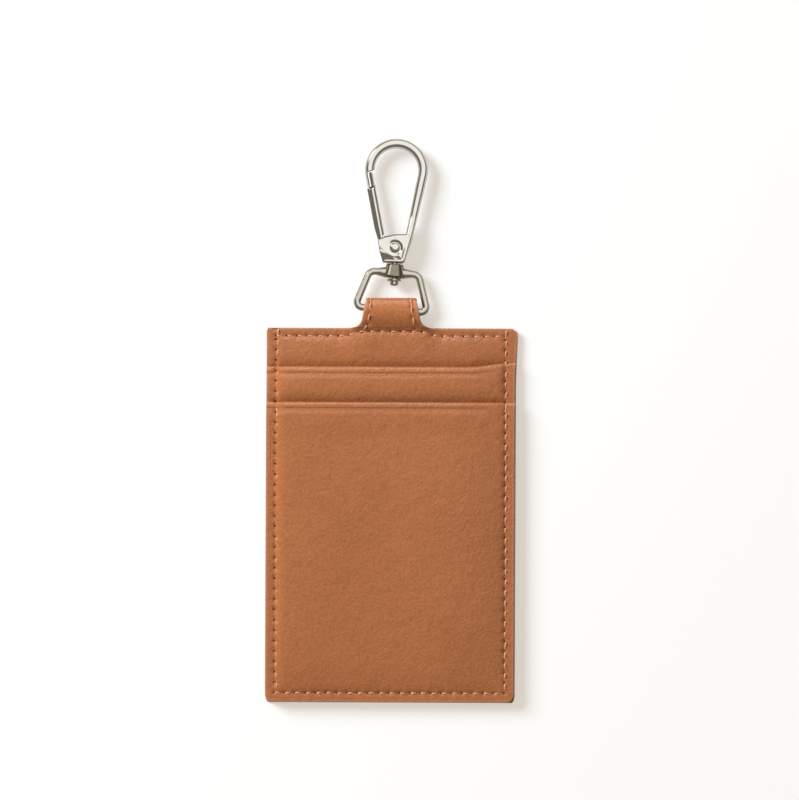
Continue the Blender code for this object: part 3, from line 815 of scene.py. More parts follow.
# Gate, from the rivet
gate_offset = 0.00475
gate_width = 0.0024
gate_sheet = 0.00042
sheet_share = 0.6
arm_width = 0.00250
arm_crest = 0.0015
arm_start = 0.0009
arm_even_start = 0.003
heel_inset = 0.0004
heel_span = (0.0012, 0.0062)
gate_foot = 0.0019
gate_shoulder = 0.01735
shoulder_length = 0.0006
shoulder_growth = 0.0001
shoulder_drop = 0.00045
gate_tip = 0.0214
tip_start = 0.0005
tip_inset = 0.00135
tip_width = 0.00105
tip_height = 0.00075
tip_crest = 0.85
tip_round = 0.0004
ear_radius = 0.0016
ear_inset = 0.0009
ear_margin = 0.0001
ear_overlap = 0.00002
nose_tongue = 0.0010
nose_gap = 0.0004
lap_reach = 0.004
lap_overrun = 0.005
running_gap = 0.0003
rivet_radius = 0.00075
rivet_head_radius = 0.00145
rivet_head_height = 0.00062
rivet_seat = 0.00012
spring_wire = 0.00013
spring_coil = 0.0012
spring_turns = 2.35
spring_start = math.radians(-75)
spring_room = 0.0002
spring_leg = (0.0028, 0.0023)


def joint_place(joint, across):
    """Placement of the pieces that belong to a joint; across is the direction of their X."""
    along = Vector((-across.y, across.x, 0.0))
    turn = Matrix((across, along, Vector((0.0, 0.0, 1.0)))).transposed().to_4x4()
    return Matrix.Translation(joint["pos_m"]) @ turn


swivel_axis = Vector(swivel_joint["axis"])
ring_place = joint_place(ring_joint, Vector(ring_joint["axis"]))
hook_place = joint_place(swivel_joint, Vector((swivel_axis.y, -swivel_axis.x, 0.0)))


def rounded(corners):
    """A path's corners (x, y, radius), drawn as arcs where they have a radius."""
    points = []
    for number, (x, y, radius) in enumerate(corners):
        if radius == 0.0:
            points.append((x, y))
            continue
        corner = Vector((x, y))
        before = (Vector(corners[number - 1][:2]) - corner).normalized()
        after = (Vector(corners[(number + 1) % len(corners)][:2]) - corner).normalized()
        half = before.angle(after) / 2
        centre = corner + (before + after).normalized() * radius / math.sin(half)
        start = corner + before * radius / math.tan(half) - centre
        end = corner + after * radius / math.tan(half) - centre
        turn = math.atan2(start.x * end.y - start.y * end.x, start.dot(end))
        for angle in evenly(0.0, turn, arc_steps):
            points.append((centre.x + start.x * math.cos(angle) - start.y * math.sin(angle),
                           centre.y + start.x * math.sin(angle) + start.y * math.cos(angle)))
    return points


def resampled(points, spacing, closed=False):
    """Evenly spaced places along a path."""
    line = [Vector((*point, 0.0)[:3]) for point in points]
    if closed:
        line.append(line[0])
    lengths = [0.0]
    for first, second in zip(line, line[1:]):
        lengths.append(lengths[-1] + (second - first).length)
    count = round(lengths[-1] / spacing)
    result = []
    piece = 0
    for number in range(count if closed else count + 1):
        place = min(lengths[-1] * number / count, lengths[-1])
        while lengths[piece + 1] < place and piece < len(line) - 2:
            piece += 1
        span = lengths[piece + 1] - lengths[piece]
        result.append(line[piece].lerp(line[piece + 1], (place - lengths[piece]) / span))
    return result


def bridge(mesh, first, second):
    """The faces between two rings of corners."""
    for number in range(len(first)):
        following = (number + 1) % len(first)
        mesh.faces.new((first[number], first[following], second[following], second[number]))


def add_skin(mesh, rings):
    """A closed skin over rings of corners."""
    mesh.faces.new(rings[0])
    mesh.faces.new(rings[-1])
    for first, second in zip(rings, rings[1:]):
        bridge(mesh, first, second)


def add_wire(mesh, points, size, sides=28):
    """A round wire along a path. Size gives its radius at a share of the way, and how far
    its two halves are drawn apart in height. The ends are rounded off."""
    stations = []
    for number, point in enumerate(points):
        before = points[max(number - 1, 0)]
        after = points[min(number + 1, len(points) - 1)]
        stations.append((point, (after - before).normalized(), *size(number / (len(points) - 1))))
    for end, way in ((stations[0], -1), (stations[-1], 1)):
        point, tangent, radius, stretch = end
        caps = [(point + tangent * way * radius * cap_length_share * math.sin(angle), tangent,
                 radius * math.cos(angle), stretch) for angle in cap_angles]
        stations = caps[::-1] + stations if way < 0 else stations + caps
    up = Vector((0.0, 0.0, 1.0))
    rings = []
    for point, tangent, radius, stretch in stations:
        side = tangent.cross(up).normalized()
        up = side.cross(tangent)
        ring = []
        for number in range(sides):
            angle = math.tau * (number + 0.5) / sides
            across, lift = math.cos(angle), math.sin(angle)
            spread = abs(across) ** wire_fullness + abs(lift) ** wire_fullness
            reach = radius / spread ** (1 / wire_fullness)
            lift = lift * reach + math.copysign(stretch, lift)
            ring.append(mesh.verts.new(point + side * across * reach + up * lift))
        rings.append(ring)
    add_skin(mesh, rings)


def add_turned(mesh, profile, squash=1.0, upright=0.0):
    """A profile of (radius, height) turned about Y, or about Z at a place along Y."""
    rings = []
    for radius, height in profile:
        ring = []
        for number in range(turned_sides if radius > 0.0 else 1):
            angle = math.tau * number / turned_sides
            x, z = radius * math.cos(angle), radius * math.sin(angle)
            place = (x, z + upright, height) if upright else (x, height, z * squash)
            ring.append(mesh.verts.new(place))
        rings.append(ring)
    for first, second in zip(rings, rings[1:] + ([rings[0]] if profile[0][0] > 0.0 else [])):
        for number in range(turned_sides):
            following = (number + 1) % turned_sides
            corners = [first[number % len(first)], first[following % len(first)],
                       second[following % len(second)], second[number % len(second)]]
            corners = list(dict.fromkeys(corners))
            if len(corners) > 2:
                mesh.faces.new(corners)


def add_prism(mesh, outline, low, high):
    add_skin(mesh, [[mesh.verts.new((*point, level)) for point in outline]
                    for level in (low, high)])


def finished(mesh, name, place, sharp=None, doubles=merge_distance):
    """The plain mesh of a piece, with its doubles merged and its faces turned outwards."""
    if doubles:
        bmesh.ops.remove_doubles(mesh, verts=mesh.verts, dist=doubles)
    bmesh.ops.recalc_face_normals(mesh, faces=mesh.faces)
    mesh.transform(place)
    data = bpy.data.meshes.new(name)
    mesh.to_mesh(data)
    mesh.free()
    data.shade_smooth()
    if sharp is not None:
        data.set_sharp_from_angle(angle=sharp)
    return data


def carved(data, outline, low, high):
    """The mesh with a prism cut out of it."""
    cutter_mesh = bmesh.new()
    add_prism(cutter_mesh, outline, low, high)
    block = put_in_scene("block", data)
    cutter = put_in_scene("cutter", finished(cutter_mesh, "cutter", Matrix()))
    cut = block.modifiers.new("cut", "BOOLEAN")
    cut.operation = "DIFFERENCE"
    cut.solver = "EXACT"
    cut.object = cutter
    evaluated = block.evaluated_get(bpy.context.evaluated_depsgraph_get())
    result = bpy.data.meshes.new_from_object(evaluated)
    for item in (block, cutter):
        bpy.data.objects.remove(item)
    return result


def make_ring(ring_shaded_material, boss_shaded_material):
    """The bent ring, whose shoulders run into the cast boss of the swivel."""
    corners = [(-ring_bar_vertex, 0.0, ring_bar_corner), (ring_bar_vertex, 0.0, ring_bar_corner),
               (ring_shoulder_vertex, ring_height, ring_shoulder_corner), (0.0, ring_height, 0.0),
               (-ring_shoulder_vertex, ring_height, ring_shoulder_corner)]
    loop = rounded(corners)
    middle = loop.index((0.0, ring_height))
    inner = (bore_radius + boss_top_radius) / 2
    path = [(-inner, ring_height)] + loop[middle + 1:] + loop[:middle] + [(inner, ring_height)]

    def size(share):
        root = min(share, 1 - share)
        return ring_wire * (1 + ring_root_growth * (1 - ease(root, *ring_root_shares))), 0.0
    mesh = bmesh.new()
    add_wire(mesh, resampled(path, ring_spacing), size)
    wire = finished(mesh, "bent_ring", ring_place)
    add_piece("bent_ring", wire, "ring", ring_shaded_material, ["base_ring"])
    wall = [(bore_radius, boss_foot + 2 * boss_edge), (bore_radius + 2 * boss_edge, boss_foot),
            (boss_foot_radius - 5 * boss_edge, boss_foot),
            (boss_foot_radius - 2 * boss_edge, boss_foot + boss_edge),
            (boss_foot_radius, boss_foot + 4 * boss_edge)]
    wall_height = boss_top - boss_foot - 9 * boss_edge
    for share in evenly(0.0, 1.0, 12):
        radius = boss_top_radius + (boss_foot_radius - boss_top_radius) * (1 - share) ** boss_taper
        wall.append((radius, boss_foot + 6 * boss_edge + wall_height * share))
    wall += [(boss_top_radius - boss_edge, boss_top - boss_edge),
             (boss_top_radius - 3 * boss_edge, boss_top),
             (bore_radius + boss_edge, boss_top), (bore_radius, boss_top - boss_edge)]
    mesh = bmesh.new()
    add_turned(mesh, wall, boss_squash)
    boss = finished(mesh, "swivel_boss", ring_place)
    add_piece("swivel_boss", boss, "ring", boss_shaded_material)


def make_swivel(washer_finish, pin_shaded_material):
    """The washer under the boss, and the pin with its peened head."""
    bottom = washer_top - washer_thickness
    mesh = bmesh.new()
    add_turned(mesh, [(pin_radius, washer_top), (washer_radius - turned_edge, washer_top),
                      (washer_radius, washer_top - turned_edge), (washer_radius, bottom + turned_edge),
                      (washer_radius - turned_edge, bottom), (pin_radius, bottom)])
    washer = finished(mesh, "washer_disc", hook_place, turned_sharp)
    add_piece("washer_disc", washer, "hook", washer_finish, ["swivel_washer"])
    foot = pin_head_top - pin_head_height
    top = block_base + pin_grip
    profile = [(0.0, top), (pin_radius, top), (pin_radius, pin_head_top),
               (pin_head_radius - turned_edge, pin_head_top),
               (pin_head_radius, pin_head_top - turned_edge)]
    for angle in evenly(0.0, math.pi / 2, 10)[:-1]:
        profile.append((pin_head_radius * math.cos(angle),
                        foot + pin_head_height * pin_dome_share * (1 - math.sin(angle))))
    mesh = bmesh.new()
    add_turned(mesh, profile + [(0.0, foot)])
    pin = finished(mesh, "peened_pin", hook_place, turned_sharp)
    add_piece("peened_pin", pin, "hook", pin_shaded_material, ["swivel_pin"])


def plate_face(place, reach, distance):
    """Level of the block's pillowed face at a place, from its reach from the rivet and its
    distance in from the block's outline."""
    away = Vector((0.0, rivet_height, 0.0)) - place
    top = ease(place.y, *plate_top_heights) * (1 - ease(place.x, *plate_top_sides))
    level = plate_level - rolled(distance, plate_roll + (plate_top_roll - plate_roll) * top)
    slump = max(away.dot(slump_direction) - slump_start, 0.0)
    fall = plate_fall * (1 - ease(place.y, *plate_fall_heights))
    fall *= 1 - ease(slump, 0.0, slump_fade)
    level -= fall * (1 - swelling(distance, plate_reach))
    bent = min(slump, slump_bend)
    level -= slump_rate * bent * (2 * slump - bent)
    low = dish_depth * ease(away.dot(dish_direction), *dish_slope)
    return level - low - (dish_depth - low) * (1 - ease(reach, dish_floor, dish_radius))


def add_plate(mesh):
    """The block's plate: two pillowed faces with a dish about the rivet, and its wall."""
    outline = resampled(rounded(block_corners), plate_spacing, closed=True)
    tree = tree_of(outline)
    centre = Vector((0.0, rivet_height, 0.0))
    circles = evenly(dish_middle, dish_radius + dish_rim, 24)
    shares = [0.16, 0.32, 0.47, 0.60, 0.71, 0.80, 0.87, 0.92, 0.955, 0.98, 0.993, 1.0]
    rims = []
    for side in (1, -1):
        rings = []
        for number in range(len(circles) + len(shares)):
            ring = []
            for point in outline:
                ray = point - centre
                reach = circles[min(number, len(circles) - 1)]
                if number >= len(circles):
                    reach += (ray.length - reach) * shares[number - len(circles)]
                place = centre + ray.normalized() * reach
                inside = number < len(circles) + len(shares) - 1
                level = plate_face(place, reach, tree.find(place)[2] if inside else 0.0)
                ring.append(mesh.verts.new((place.x, place.y, side * level)))
            rings.append(ring)
        mesh.faces.new(rings[0])
        for first, second in zip(rings, rings[1:]):
            bridge(mesh, first, second)
        rims.append(rings[-1])
    bridge(mesh, *rims)


def on_arm(along, inward):
    """A place on the gate, from the rivet: along its outer face, and inward from it."""
    return (-gate_offset - along * math.sin(lean) + inward * math.cos(lean),
            along * math.cos(lean) + inward * math.sin(lean))


bow_joint = (bow_line_radius * math.cos(lean), bow_centre - bow_line_radius * math.sin(lean))


def bow_path():
    """Middle line of the hook's wire: along the block's foot, up its right side, the leg,
    the crown and down to the nose."""
    joint_x, joint_y = bow_joint
    path = rounded(rib_corners) + [bow_joint]
    path += [(bow_line_radius * math.cos(angle), bow_centre + bow_line_radius * math.sin(angle))
             for angle in evenly(-lean, math.pi + lean, 60)]
    joint_along = (joint_x - gate_offset) * math.sin(lean) + (joint_y - rivet_height) * math.cos(lean)
    down = joint_along - gate_shoulder - nose_gap
    path.append((down * math.sin(lean) - joint_x, joint_y - down * math.cos(lean)))
    return resampled(path, bow_spacing)


def nose_lap():
    """Outline of what is cut from the wire's end so that the gate's tip can close on it."""
    reach = math.hypot(*on_arm(gate_tip, tip_inset)) + running_gap
    left = on_arm(gate_shoulder - lap_overrun, nose_tongue)
    side_x = -gate_offset + nose_tongue / math.cos(lean)
    slope = math.tan(lean)
    meet = math.sqrt(reach ** 2 * (1 + slope ** 2) - side_x ** 2) + side_x * slope
    meet /= 1 + slope ** 2
    first = math.atan2(meet, side_x - meet * slope)
    arc = [(reach * math.cos(angle), reach * math.sin(angle))
           for angle in evenly(first, math.pi / 2, 16)]
    return [(x, y + rivet_height) for x, y in [left] + arc + [(0.0, left[1])]]


def make_hook(material):
    """Cast hook: a dished block with a rounded rib that grows into the bow."""
    mesh = bmesh.new()
    add_plate(mesh)
    far_left, far_up = slot_reach
    slot = [(-far_left, slot_floor), (slot_end, slot_floor), (slot_end, far_up), (-far_left, far_up)]
    block = carved(finished(mesh, "block", Matrix()), slot, -slot_half_width, slot_half_width)
    path = bow_path()
    heights = [point.y for point in path]
    crown = heights.index(max(heights))

    def size(share):
        place = min(round(share * (len(path) - 1)), len(path) - 1)
        point = path[place]
        if place > crown:
            return bow_wire, 0.0
        radius = foot_wire + (rib_wire - foot_wire) * ease(point.x, 0.0, foot_span)
        if point.y > foot_height:
            radius = rib_wire + (leg_wire - rib_wire) * ease(point.y, *leg_growth)
        radius += (bow_wire - leg_wire) * ease(point.y, leg_growth[1], bow_joint[1])
        return radius, (rib_half_height - radius) * (1 - ease(point.y, *rib_end))
    mesh = bmesh.new()
    add_wire(mesh, path, size, sides=32)
    wire = carved(finished(mesh, "wire", Matrix()), nose_lap(), -lap_reach, lap_reach)
    mesh = bmesh.new()
    mesh.from_mesh(block)
    mesh.from_mesh(wire)
    data = finished(mesh, "cast_hook", hook_place, cast_sharp)
    return add_piece("cast_hook", data, "hook", material, ["hook_frame"])


def gate_section(left, right, crest, height, sheet):
    """Cross-section of the gate's folded channel: a long outer slope, a narrow crest, a
    short inner slope, and open towards the inside of the hook."""
    inner, outer = right - crest, crest - left
    half = [(right, 0.40), (right - 0.03 * inner, 0.52), (crest + 0.72 * inner, 0.72),
            (crest + 0.30 * inner, 0.95), (crest + 0.12 * inner, 0.99), (crest, 1.0),
            (crest - 0.12 * outer, 0.985), (crest - 0.22 * outer, 0.945),
            (crest - 0.60 * outer, 0.715), (left + 0.12 * outer, 0.525),
            (left + 0.035 * outer, 0.44), (left, 0.30)]
    wall = [(x, level * height) for x, level in half]
    wall += [(x, -level * height) for x, level in reversed(half)]
    return wall + [(crest + (x - crest) * (1 - sheet / outer), y * (1 - sheet / height))
                   for x, y in reversed(wall)]


def gate_stations():
    """The gate's sections: where each lies along the arm, its left and right sides, its
    crest and its half height."""
    half_width = gate_width / 2
    arm_end = gate_shoulder - shoulder_length
    starts = [arm_start, heel_span[0], gate_foot]
    stations = [(along, heel_inset * (1 - ease(along, *heel_span)), arm_width, arm_crest, half_width)
                for along in starts + evenly(arm_even_start, arm_end, 24)]
    crest = tip_inset + tip_width * tip_crest
    for share in evenly(0.0, 1.0, 6)[1:]:
        curve = math.sin(share * math.pi / 2)
        stations.append((arm_end + shoulder_length * share,
                         tip_inset * (1 - math.sqrt(1 - share * share)),
                         arm_width + shoulder_growth * share,
                         arm_crest + (crest - arm_crest) * curve,
                         half_width - shoulder_drop * share))
    for along in evenly(gate_shoulder + tip_start, gate_tip - tip_round, 10):
        stations.append((along, tip_inset, tip_inset + tip_width, crest, tip_height))
    middle = tip_inset + tip_width / 2
    for share in (0.5, 0.8, 0.97):
        shrink = math.sqrt(1 - share * share)
        half = tip_width / 2 * shrink
        stations.append((gate_tip - tip_round * (1 - share), middle - half, middle + half,
                         middle + tip_width * (tip_crest - 0.5) * shrink, tip_height * shrink))
    return stations


def make_gate(material):
    """Sprung gate: a rolled channel with two ears on the rivet and a nipped tip."""
    mesh = bmesh.new()
    rings = []
    for along, left, right, crest, height in gate_stations():
        sheet = min(gate_sheet, (crest - left) * sheet_share)
        section = gate_section(left, right, crest, height, sheet)
        rings.append([mesh.verts.new((*on_arm(along, across), level)) for across, level in section])
    add_skin(mesh, rings)
    foot = on_arm(gate_foot, ear_inset)
    heel = on_arm(gate_foot + ear_radius, arm_width - ear_margin)

    def leave(target, way):
        return (math.atan2(target[1], target[0])
                + way * math.acos(ear_radius / math.hypot(*target)))
    ear = [foot] + [(ear_radius * math.cos(angle), ear_radius * math.sin(angle))
                    for angle in evenly(leave(foot, 1), leave(heel, -1) + math.tau, 28)] + [heel]
    inside = gate_width / 2 - gate_sheet - ear_overlap
    outside = gate_width / 2 - ear_overlap
    add_prism(mesh, ear, inside, outside)
    add_prism(mesh, ear, -outside, -inside)
    place = hook_place @ Matrix.Translation((0.0, rivet_height, 0.0))
    data = finished(mesh, "rolled_gate", place, turned_sharp)
    return add_piece("rolled_gate", data, "gate_body", material, ["gate"])


def make_rivet(material):
    """The rivet through the block, with a low dome on each face."""
    seat = plate_level - dish_depth
    dome = [(rivet_head_radius * math.cos(angle), seat + rivet_head_height * math.sin(angle))
            for angle in evenly(0.0, math.pi / 2, 12)]
    upper = [(0.0, dome[-1][1])] + dome[-2::-1]
    upper += [(rivet_head_radius, seat - rivet_seat), (rivet_radius, seat - rivet_seat)]
    mesh = bmesh.new()
    add_turned(mesh, upper + [(radius, -height) for radius, height in reversed(upper)],
               upright=rivet_height)
    data = finished(mesh, "domed_rivet", hook_place, rivet_sharp)
    return add_piece("domed_rivet", data, "hook", material, ["gate_rivet"])


def make_spring(material):
    """Torsion spring on the rivet. Its leg ends low in the gate's channel, and crosses the
    channel's lip a little on its way in."""
    room = gate_width / 2 - gate_sheet - spring_wire - spring_room
    coil = []
    for share in evenly(0.0, 1.0, 120):
        angle = spring_start + math.tau * spring_turns * share
        coil.append(Vector((spring_coil * math.cos(angle),
                            rivet_height + spring_coil * math.sin(angle), room * (2 * share - 1))))
    end = on_arm(*spring_leg)
    coil.append(Vector((end[0], rivet_height + end[1], room)))
    mesh = bmesh.new()
    add_wire(mesh, coil, lambda share: (spring_wire, 0.0), sides=8)
    data = finished(mesh, "torsion_spring", hook_place)
    return add_piece("torsion_spring", data, "hook", material, ["gate_spring"])


def set_inputs(tree, node, inputs):
    """Each input gets its value, or a link where a socket is given."""
    for name, value in inputs.items():
        if isinstance(value, bpy.types.NodeSocket):
            tree.links.new(value, node.inputs[name])
        else:
            node.inputs[name].default_value = value


def add_node(tree, kind, inputs, **settings):
    node = tree.nodes.new(kind)
    for name, value in settings.items():
        setattr(node, name, value)
    set_inputs(tree, node, inputs)
    return node


def node_material(name):
    material = bpy.data.materials.new(name)
    material.use_nodes = True
    tree = material.node_tree
    place = add_node(tree, "ShaderNodeTexCoord", {}).outputs["Object"]
    return material, tree, tree.nodes["Principled BSDF"], place


def noise(tree, place, scale, detail, distortion=0.0):
    return add_node(tree, "ShaderNodeTexNoise", {"Vector": place, "Scale": scale, "Detail": detail,
                                                 "Distortion": distortion}).outputs["Fac"]


def blend(tree, factor, first, second, blend_type="MIX"):
    return add_node(tree, "ShaderNodeMix", {"Factor": factor, "A": first, "B": second},
                    data_type="RGBA", blend_type=blend_type).outputs["Result"]


def ranged(tree, value, limits):
    return add_node(tree, "ShaderNodeMapRange", {"Value": value, **limits}).outputs["Result"]


def bump(tree, height, strength, distance, **more):
    return add_node(tree, "ShaderNodeBump", {"Height": height, "Strength": strength,
                                             "Distance": distance, **more}).outputs["Normal"]


def attribute(tree, name):
    return add_node(tree, "ShaderNodeAttribute", {}, attribute_name=name).outputs["Fac"]


# Finish of the leather and the nickel, with painted shade, sheen and light
speck_share = 0.42
gloss_spread = 0.06
# Painted shade in the needle holes: a dark brown mixed into the leather there
hole_shade_colour = (0.13, 0.036, 0.012, 1.0)
# Edge paint, lighter and greyer than the leather: partly real edge paint, partly painted sheen of the
# rolled edges
paint_and_sheen_colour = (0.50, 0.27, 0.19, 1.0)
# Painted light: how much paler the tab is painted
tab_painted_light_tone = (1.16, 1.17, 1.18, 1.0)
nickel_dullness = 0.93
nickel_rim = (0.16, 0.15, 0.13, 1.0)


def leather_material(name, colour, dark, grain=1.0, roughness=0.44):
    """Smooth tan leather: fine pebbled grain, soft uneven dye, painted shade in the needle holes,
    edge paint that is partly painted sheen, and a paler tone painted on the tab as painted light."""
    material, tree, shader, place = node_material(name)
    cloud = noise(tree, place, scale=55.0, detail=5.0)
    dye = ranged(tree, cloud, {"From Min": 0.25, "From Max": 0.60})
    speck = noise(tree, place, scale=1250.0, detail=2.0)
    tone = blend(tree, dye, (*dark, 1.0), (*colour, 1.0))
    tone = blend(tree, speck_share * grain, tone, speck, "MULTIPLY")
    # Painted shade darkens the needle holes
    tone = blend(tree, attribute(tree, "needle_hole_shade"), tone, hole_shade_colour)
    # Edge paint, partly painted sheen on the rolled edges
    paint_and_sheen = ranged(tree, attribute(tree, "cut_edge_paint_and_sheen"), {"To Max": 0.5})
    tone = blend(tree, paint_and_sheen, tone, paint_and_sheen_colour)
    # Painted light: the tab made paler
    tone = blend(tree, attribute(tree, "tab_painted_light"), tone, tab_painted_light_tone, "MULTIPLY")
    pores = add_node(tree, "ShaderNodeTexVoronoi",
                     {"Vector": place, "Scale": 1500.0, "Smoothness": 0.6},
                     feature="SMOOTH_F1").outputs["Distance"]
    fine = bump(tree, pores, strength=0.8 * grain, distance=0.00008)
    wrinkle = noise(tree, place, scale=260.0, detail=4.0, distortion=0.4)
    set_inputs(tree, shader, {
        "Base Color": tone,
        "Normal": bump(tree, wrinkle, strength=0.6 * grain, distance=0.00040, Normal=fine),
        "Roughness": ranged(tree, speck, {"To Min": roughness + gloss_spread,
                                            "To Max": roughness - gloss_spread}),
        "Specular IOR Level": 0.45})
    return material


def nickel_material(name, colour, roughness):
    """Polished nickel plate with faint polishing marks."""
    material, tree, shader, place = node_material(name)
    marks = noise(tree, place, scale=1400.0, detail=3.0)
    cloud = noise(tree, place, scale=220.0, detail=2.0)
    dull = [channel * nickel_dullness for channel in colour]
    set_inputs(tree, shader, {
        "Base Color": blend(tree, cloud, (*colour, 1.0), (*dull, 1.0)),
        "Roughness": ranged(tree, marks, {"To Min": roughness * 0.7, "To Max": roughness * 1.4}),
        "Normal": bump(tree, marks, strength=0.04, distance=0.00003),
        "Metallic": 1.0,
        "Specular Tint": nickel_rim})
    return material


def thread_material():
    """Waxed thread, a little lighter than the leather, with the twist of its plies."""
    material, tree, shader, place = node_material("peach_thread")
    plies = add_node(tree, "ShaderNodeTexWave", {"Vector": place, "Scale": 1900.0, "Distortion": 1.0},
                     wave_type="BANDS", bands_direction="DIAGONAL").outputs["Fac"]
    set_inputs(tree, shader, {
        "Base Color": blend(tree, plies, (0.58, 0.270, 0.140, 1.0), (0.76, 0.410, 0.245, 1.0)),
        "Normal": bump(tree, plies, strength=0.5, distance=0.00004),
        "Roughness": 0.55,
        "Sheen Weight": 0.2})
    return material


def board_material():
    """Grey fibre board."""
    material, tree, shader, place = node_material("grey_board")
    fibre = noise(tree, place, scale=700.0, detail=6.0)
    set_inputs(tree, shader, {
        "Base Color": blend(tree, fibre, (0.24, 0.19, 0.14, 1.0), (0.36, 0.30, 0.23, 1.0)),
        "Roughness": 0.9})
    return material


def stitch_tree(material):
    """One arched stitch on each mark: its ends dive into the needle holes."""
    tree = bpy.data.node_groups.new("seam_stitches", "GeometryNodeTree")
    for name, kind, value in (("Geometry", "Geometry", None), ("Thread radius", "Float", thread_radius),
                              ("Rise", "Float", stitch_rise), ("Sag", "Float", stitch_sag),
                              ("Dive", "Float", stitch_dive), ("Slant spread", "Float", slant_spread),
                              ("Seed", "Int", slant_seed)):
        socket = tree.interface.new_socket(name, in_out="INPUT", socket_type="NodeSocket" + kind)
        if value is not None:
            socket.default_value = value
    tree.interface.new_socket("Geometry", in_out="OUTPUT", socket_type="NodeSocketGeometry")
    given = tree.nodes.new("NodeGroupInput").outputs

    def vector(x, y, z):
        return add_node(tree, "ShaderNodeCombineXYZ", {0: x, 1: y, 2: z}).outputs[0]

    def negative(socket):
        return add_node(tree, "ShaderNodeMath", {0: socket, 1: -1.0}, operation="MULTIPLY").outputs[0]

    def mark(name, kind):
        return add_node(tree, "GeometryNodeInputNamedAttribute", {"Name": name},
                        data_type=kind).outputs["Attribute"]

    dive = negative(given["Dive"])
    arc = add_node(tree, "GeometryNodeCurvePrimitiveBezierSegment", {
        "Resolution": 12, "Start": vector(-0.42, 0.0, dive), "End": vector(0.46, 0.0, dive),
        "Start Handle": vector(-0.42, 0.0, given["Rise"]),
        "End Handle": vector(0.08, 0.0, given["Sag"])})
    points = add_node(tree, "GeometryNodeMeshToPoints", {"Mesh": given["Geometry"]})
    spread = add_node(tree, "FunctionNodeRandomValue",
                      {2: negative(given["Slant spread"]), 3: given["Slant spread"],
                       "Seed": given["Seed"]}, data_type="FLOAT")
    turn = add_node(tree, "ShaderNodeVectorMath",
                    {0: mark("stitch_turn", "FLOAT_VECTOR"), 1: vector(0.0, 0.0, spread.outputs[1])},
                    operation="ADD")
    place = add_node(tree, "GeometryNodeInstanceOnPoints", {
        "Points": points.outputs[0], "Instance": arc.outputs[0], "Rotation": turn.outputs[0],
        "Scale": vector(mark("stitch_length", "FLOAT"), 1.0, 1.0)})
    real = add_node(tree, "GeometryNodeRealizeInstances", {0: place.outputs[0]})
    ring = add_node(tree, "GeometryNodeCurvePrimitiveCircle",
                    {"Resolution": 8, "Radius": given["Thread radius"]})
    tube = add_node(tree, "GeometryNodeCurveToMesh", {
        "Fill Caps": True, "Curve": real.outputs[0], "Profile Curve": ring.outputs[0]})
    smooth = add_node(tree, "GeometryNodeSetShadeSmooth", {0: tube.outputs[0]})
    finish = add_node(tree, "GeometryNodeSetMaterial",
                      {"Material": material, "Geometry": smooth.outputs[0]})
    last = add_node(tree, "GeometryNodeRealizeInstances", {0: finish.outputs[0]})
    add_node(tree, "NodeGroupOutput", {0: last.outputs[0]})
    return tree


def stitch_marks():
    """Where each stitch lies: its middle, its turn and its length."""
    marks = []
    uneven = random.Random(stitch_seed)

    def level_at(x, y):
        if y <= body_height:
            return surface(x, y)
        if y > fold_start:
            outer = fold_radius + fold_leather / 2
            return bar.z + math.sqrt(max(outer ** 2 - (y - fold_centre) ** 2, 0.0))
        level, slope = tab_climb(y)
        return level + leather / 2 * math.hypot(1.0, slope)

    for seam, path in seams.items():
        for first, second in zip(path, path[1:]):
            x, y = (first[0] + second[0]) / 2, (first[1] + second[1]) / 2
            along = Vector((second[0] - first[0], second[1] - first[1],
                            level_at(*second) - level_at(*first)))
            pitch = -math.atan2(along.z, math.hypot(along.x, along.y))
            heading = math.atan2(along.y, along.x)
            aside = stitch_aside.get(seam, 0.0) + uneven.uniform(-stitch_wander, stitch_wander)
            depth = stitch_depth.get(seam, tab_stitch_depth)
            depth += uneven.uniform(-depth_wander, depth_wander)
            marks.append(((x + aside, y + body_bottom, level_at(x, y) - depth),
                          (0.0, pitch, heading + stitch_slant.get(seam, 0.0)),
                          along.length * uneven.uniform(*stitch_stretch)))
            if seam not in tab_seams:
                marks.append(((x, y + body_bottom, back_stitch_level), (math.pi, 0.0, -heading),
                              along.length))
    return marks


def make_stitches(material):
    """All the stitches, front and back, as one mesh of thread."""
    marks = stitch_marks()
    data = bpy.data.meshes.new("seam_marks")
    data.from_pydata([mark[0] for mark in marks], [], [])
    turns = data.attributes.new("stitch_turn", "FLOAT_VECTOR", "POINT")
    turns.data.foreach_set("vector", [value for mark in marks for value in mark[1]])
    lengths = data.attributes.new("stitch_length", "FLOAT", "POINT")
    lengths.data.foreach_set("value", [mark[2] for mark in marks])
    carrier = put_in_scene("seam_marks", data)
    carrier.modifiers.new("sewing", "NODES").node_group = stitch_tree(material)
    evaluated = carrier.evaluated_get(bpy.context.evaluated_depsgraph_get())
    stitches = bpy.data.meshes.new_from_object(evaluated)
    stitches.name = "thread_stitches"
    bpy.data.objects.remove(carrier)
    return add_piece("thread_stitches", stitches, "holder", material)


def add_lamp(name, direction, distance, size, energy):
    """A round lamp that faces the object."""
    lamp = bpy.data.lights.new(name, "AREA")
    lamp.shape = "DISK"
    lamp.size = size
    lamp.energy = energy
    item = put_in_scene(name, lamp)
    item.location = direction * distance
    item.rotation_euler = direction.to_track_quat("Z", "Y").to_euler()
    return item


def make_key():
    """The soft key light from the upper left. Its power gives key_level on the flat table."""
    direction = Vector(key_direction).normalized()
    energy = key_level * math.pi * key_distance ** 2 / direction.z * math.pi
    add_lamp("key", direction, key_distance, key_size, energy).visible_glossy = False


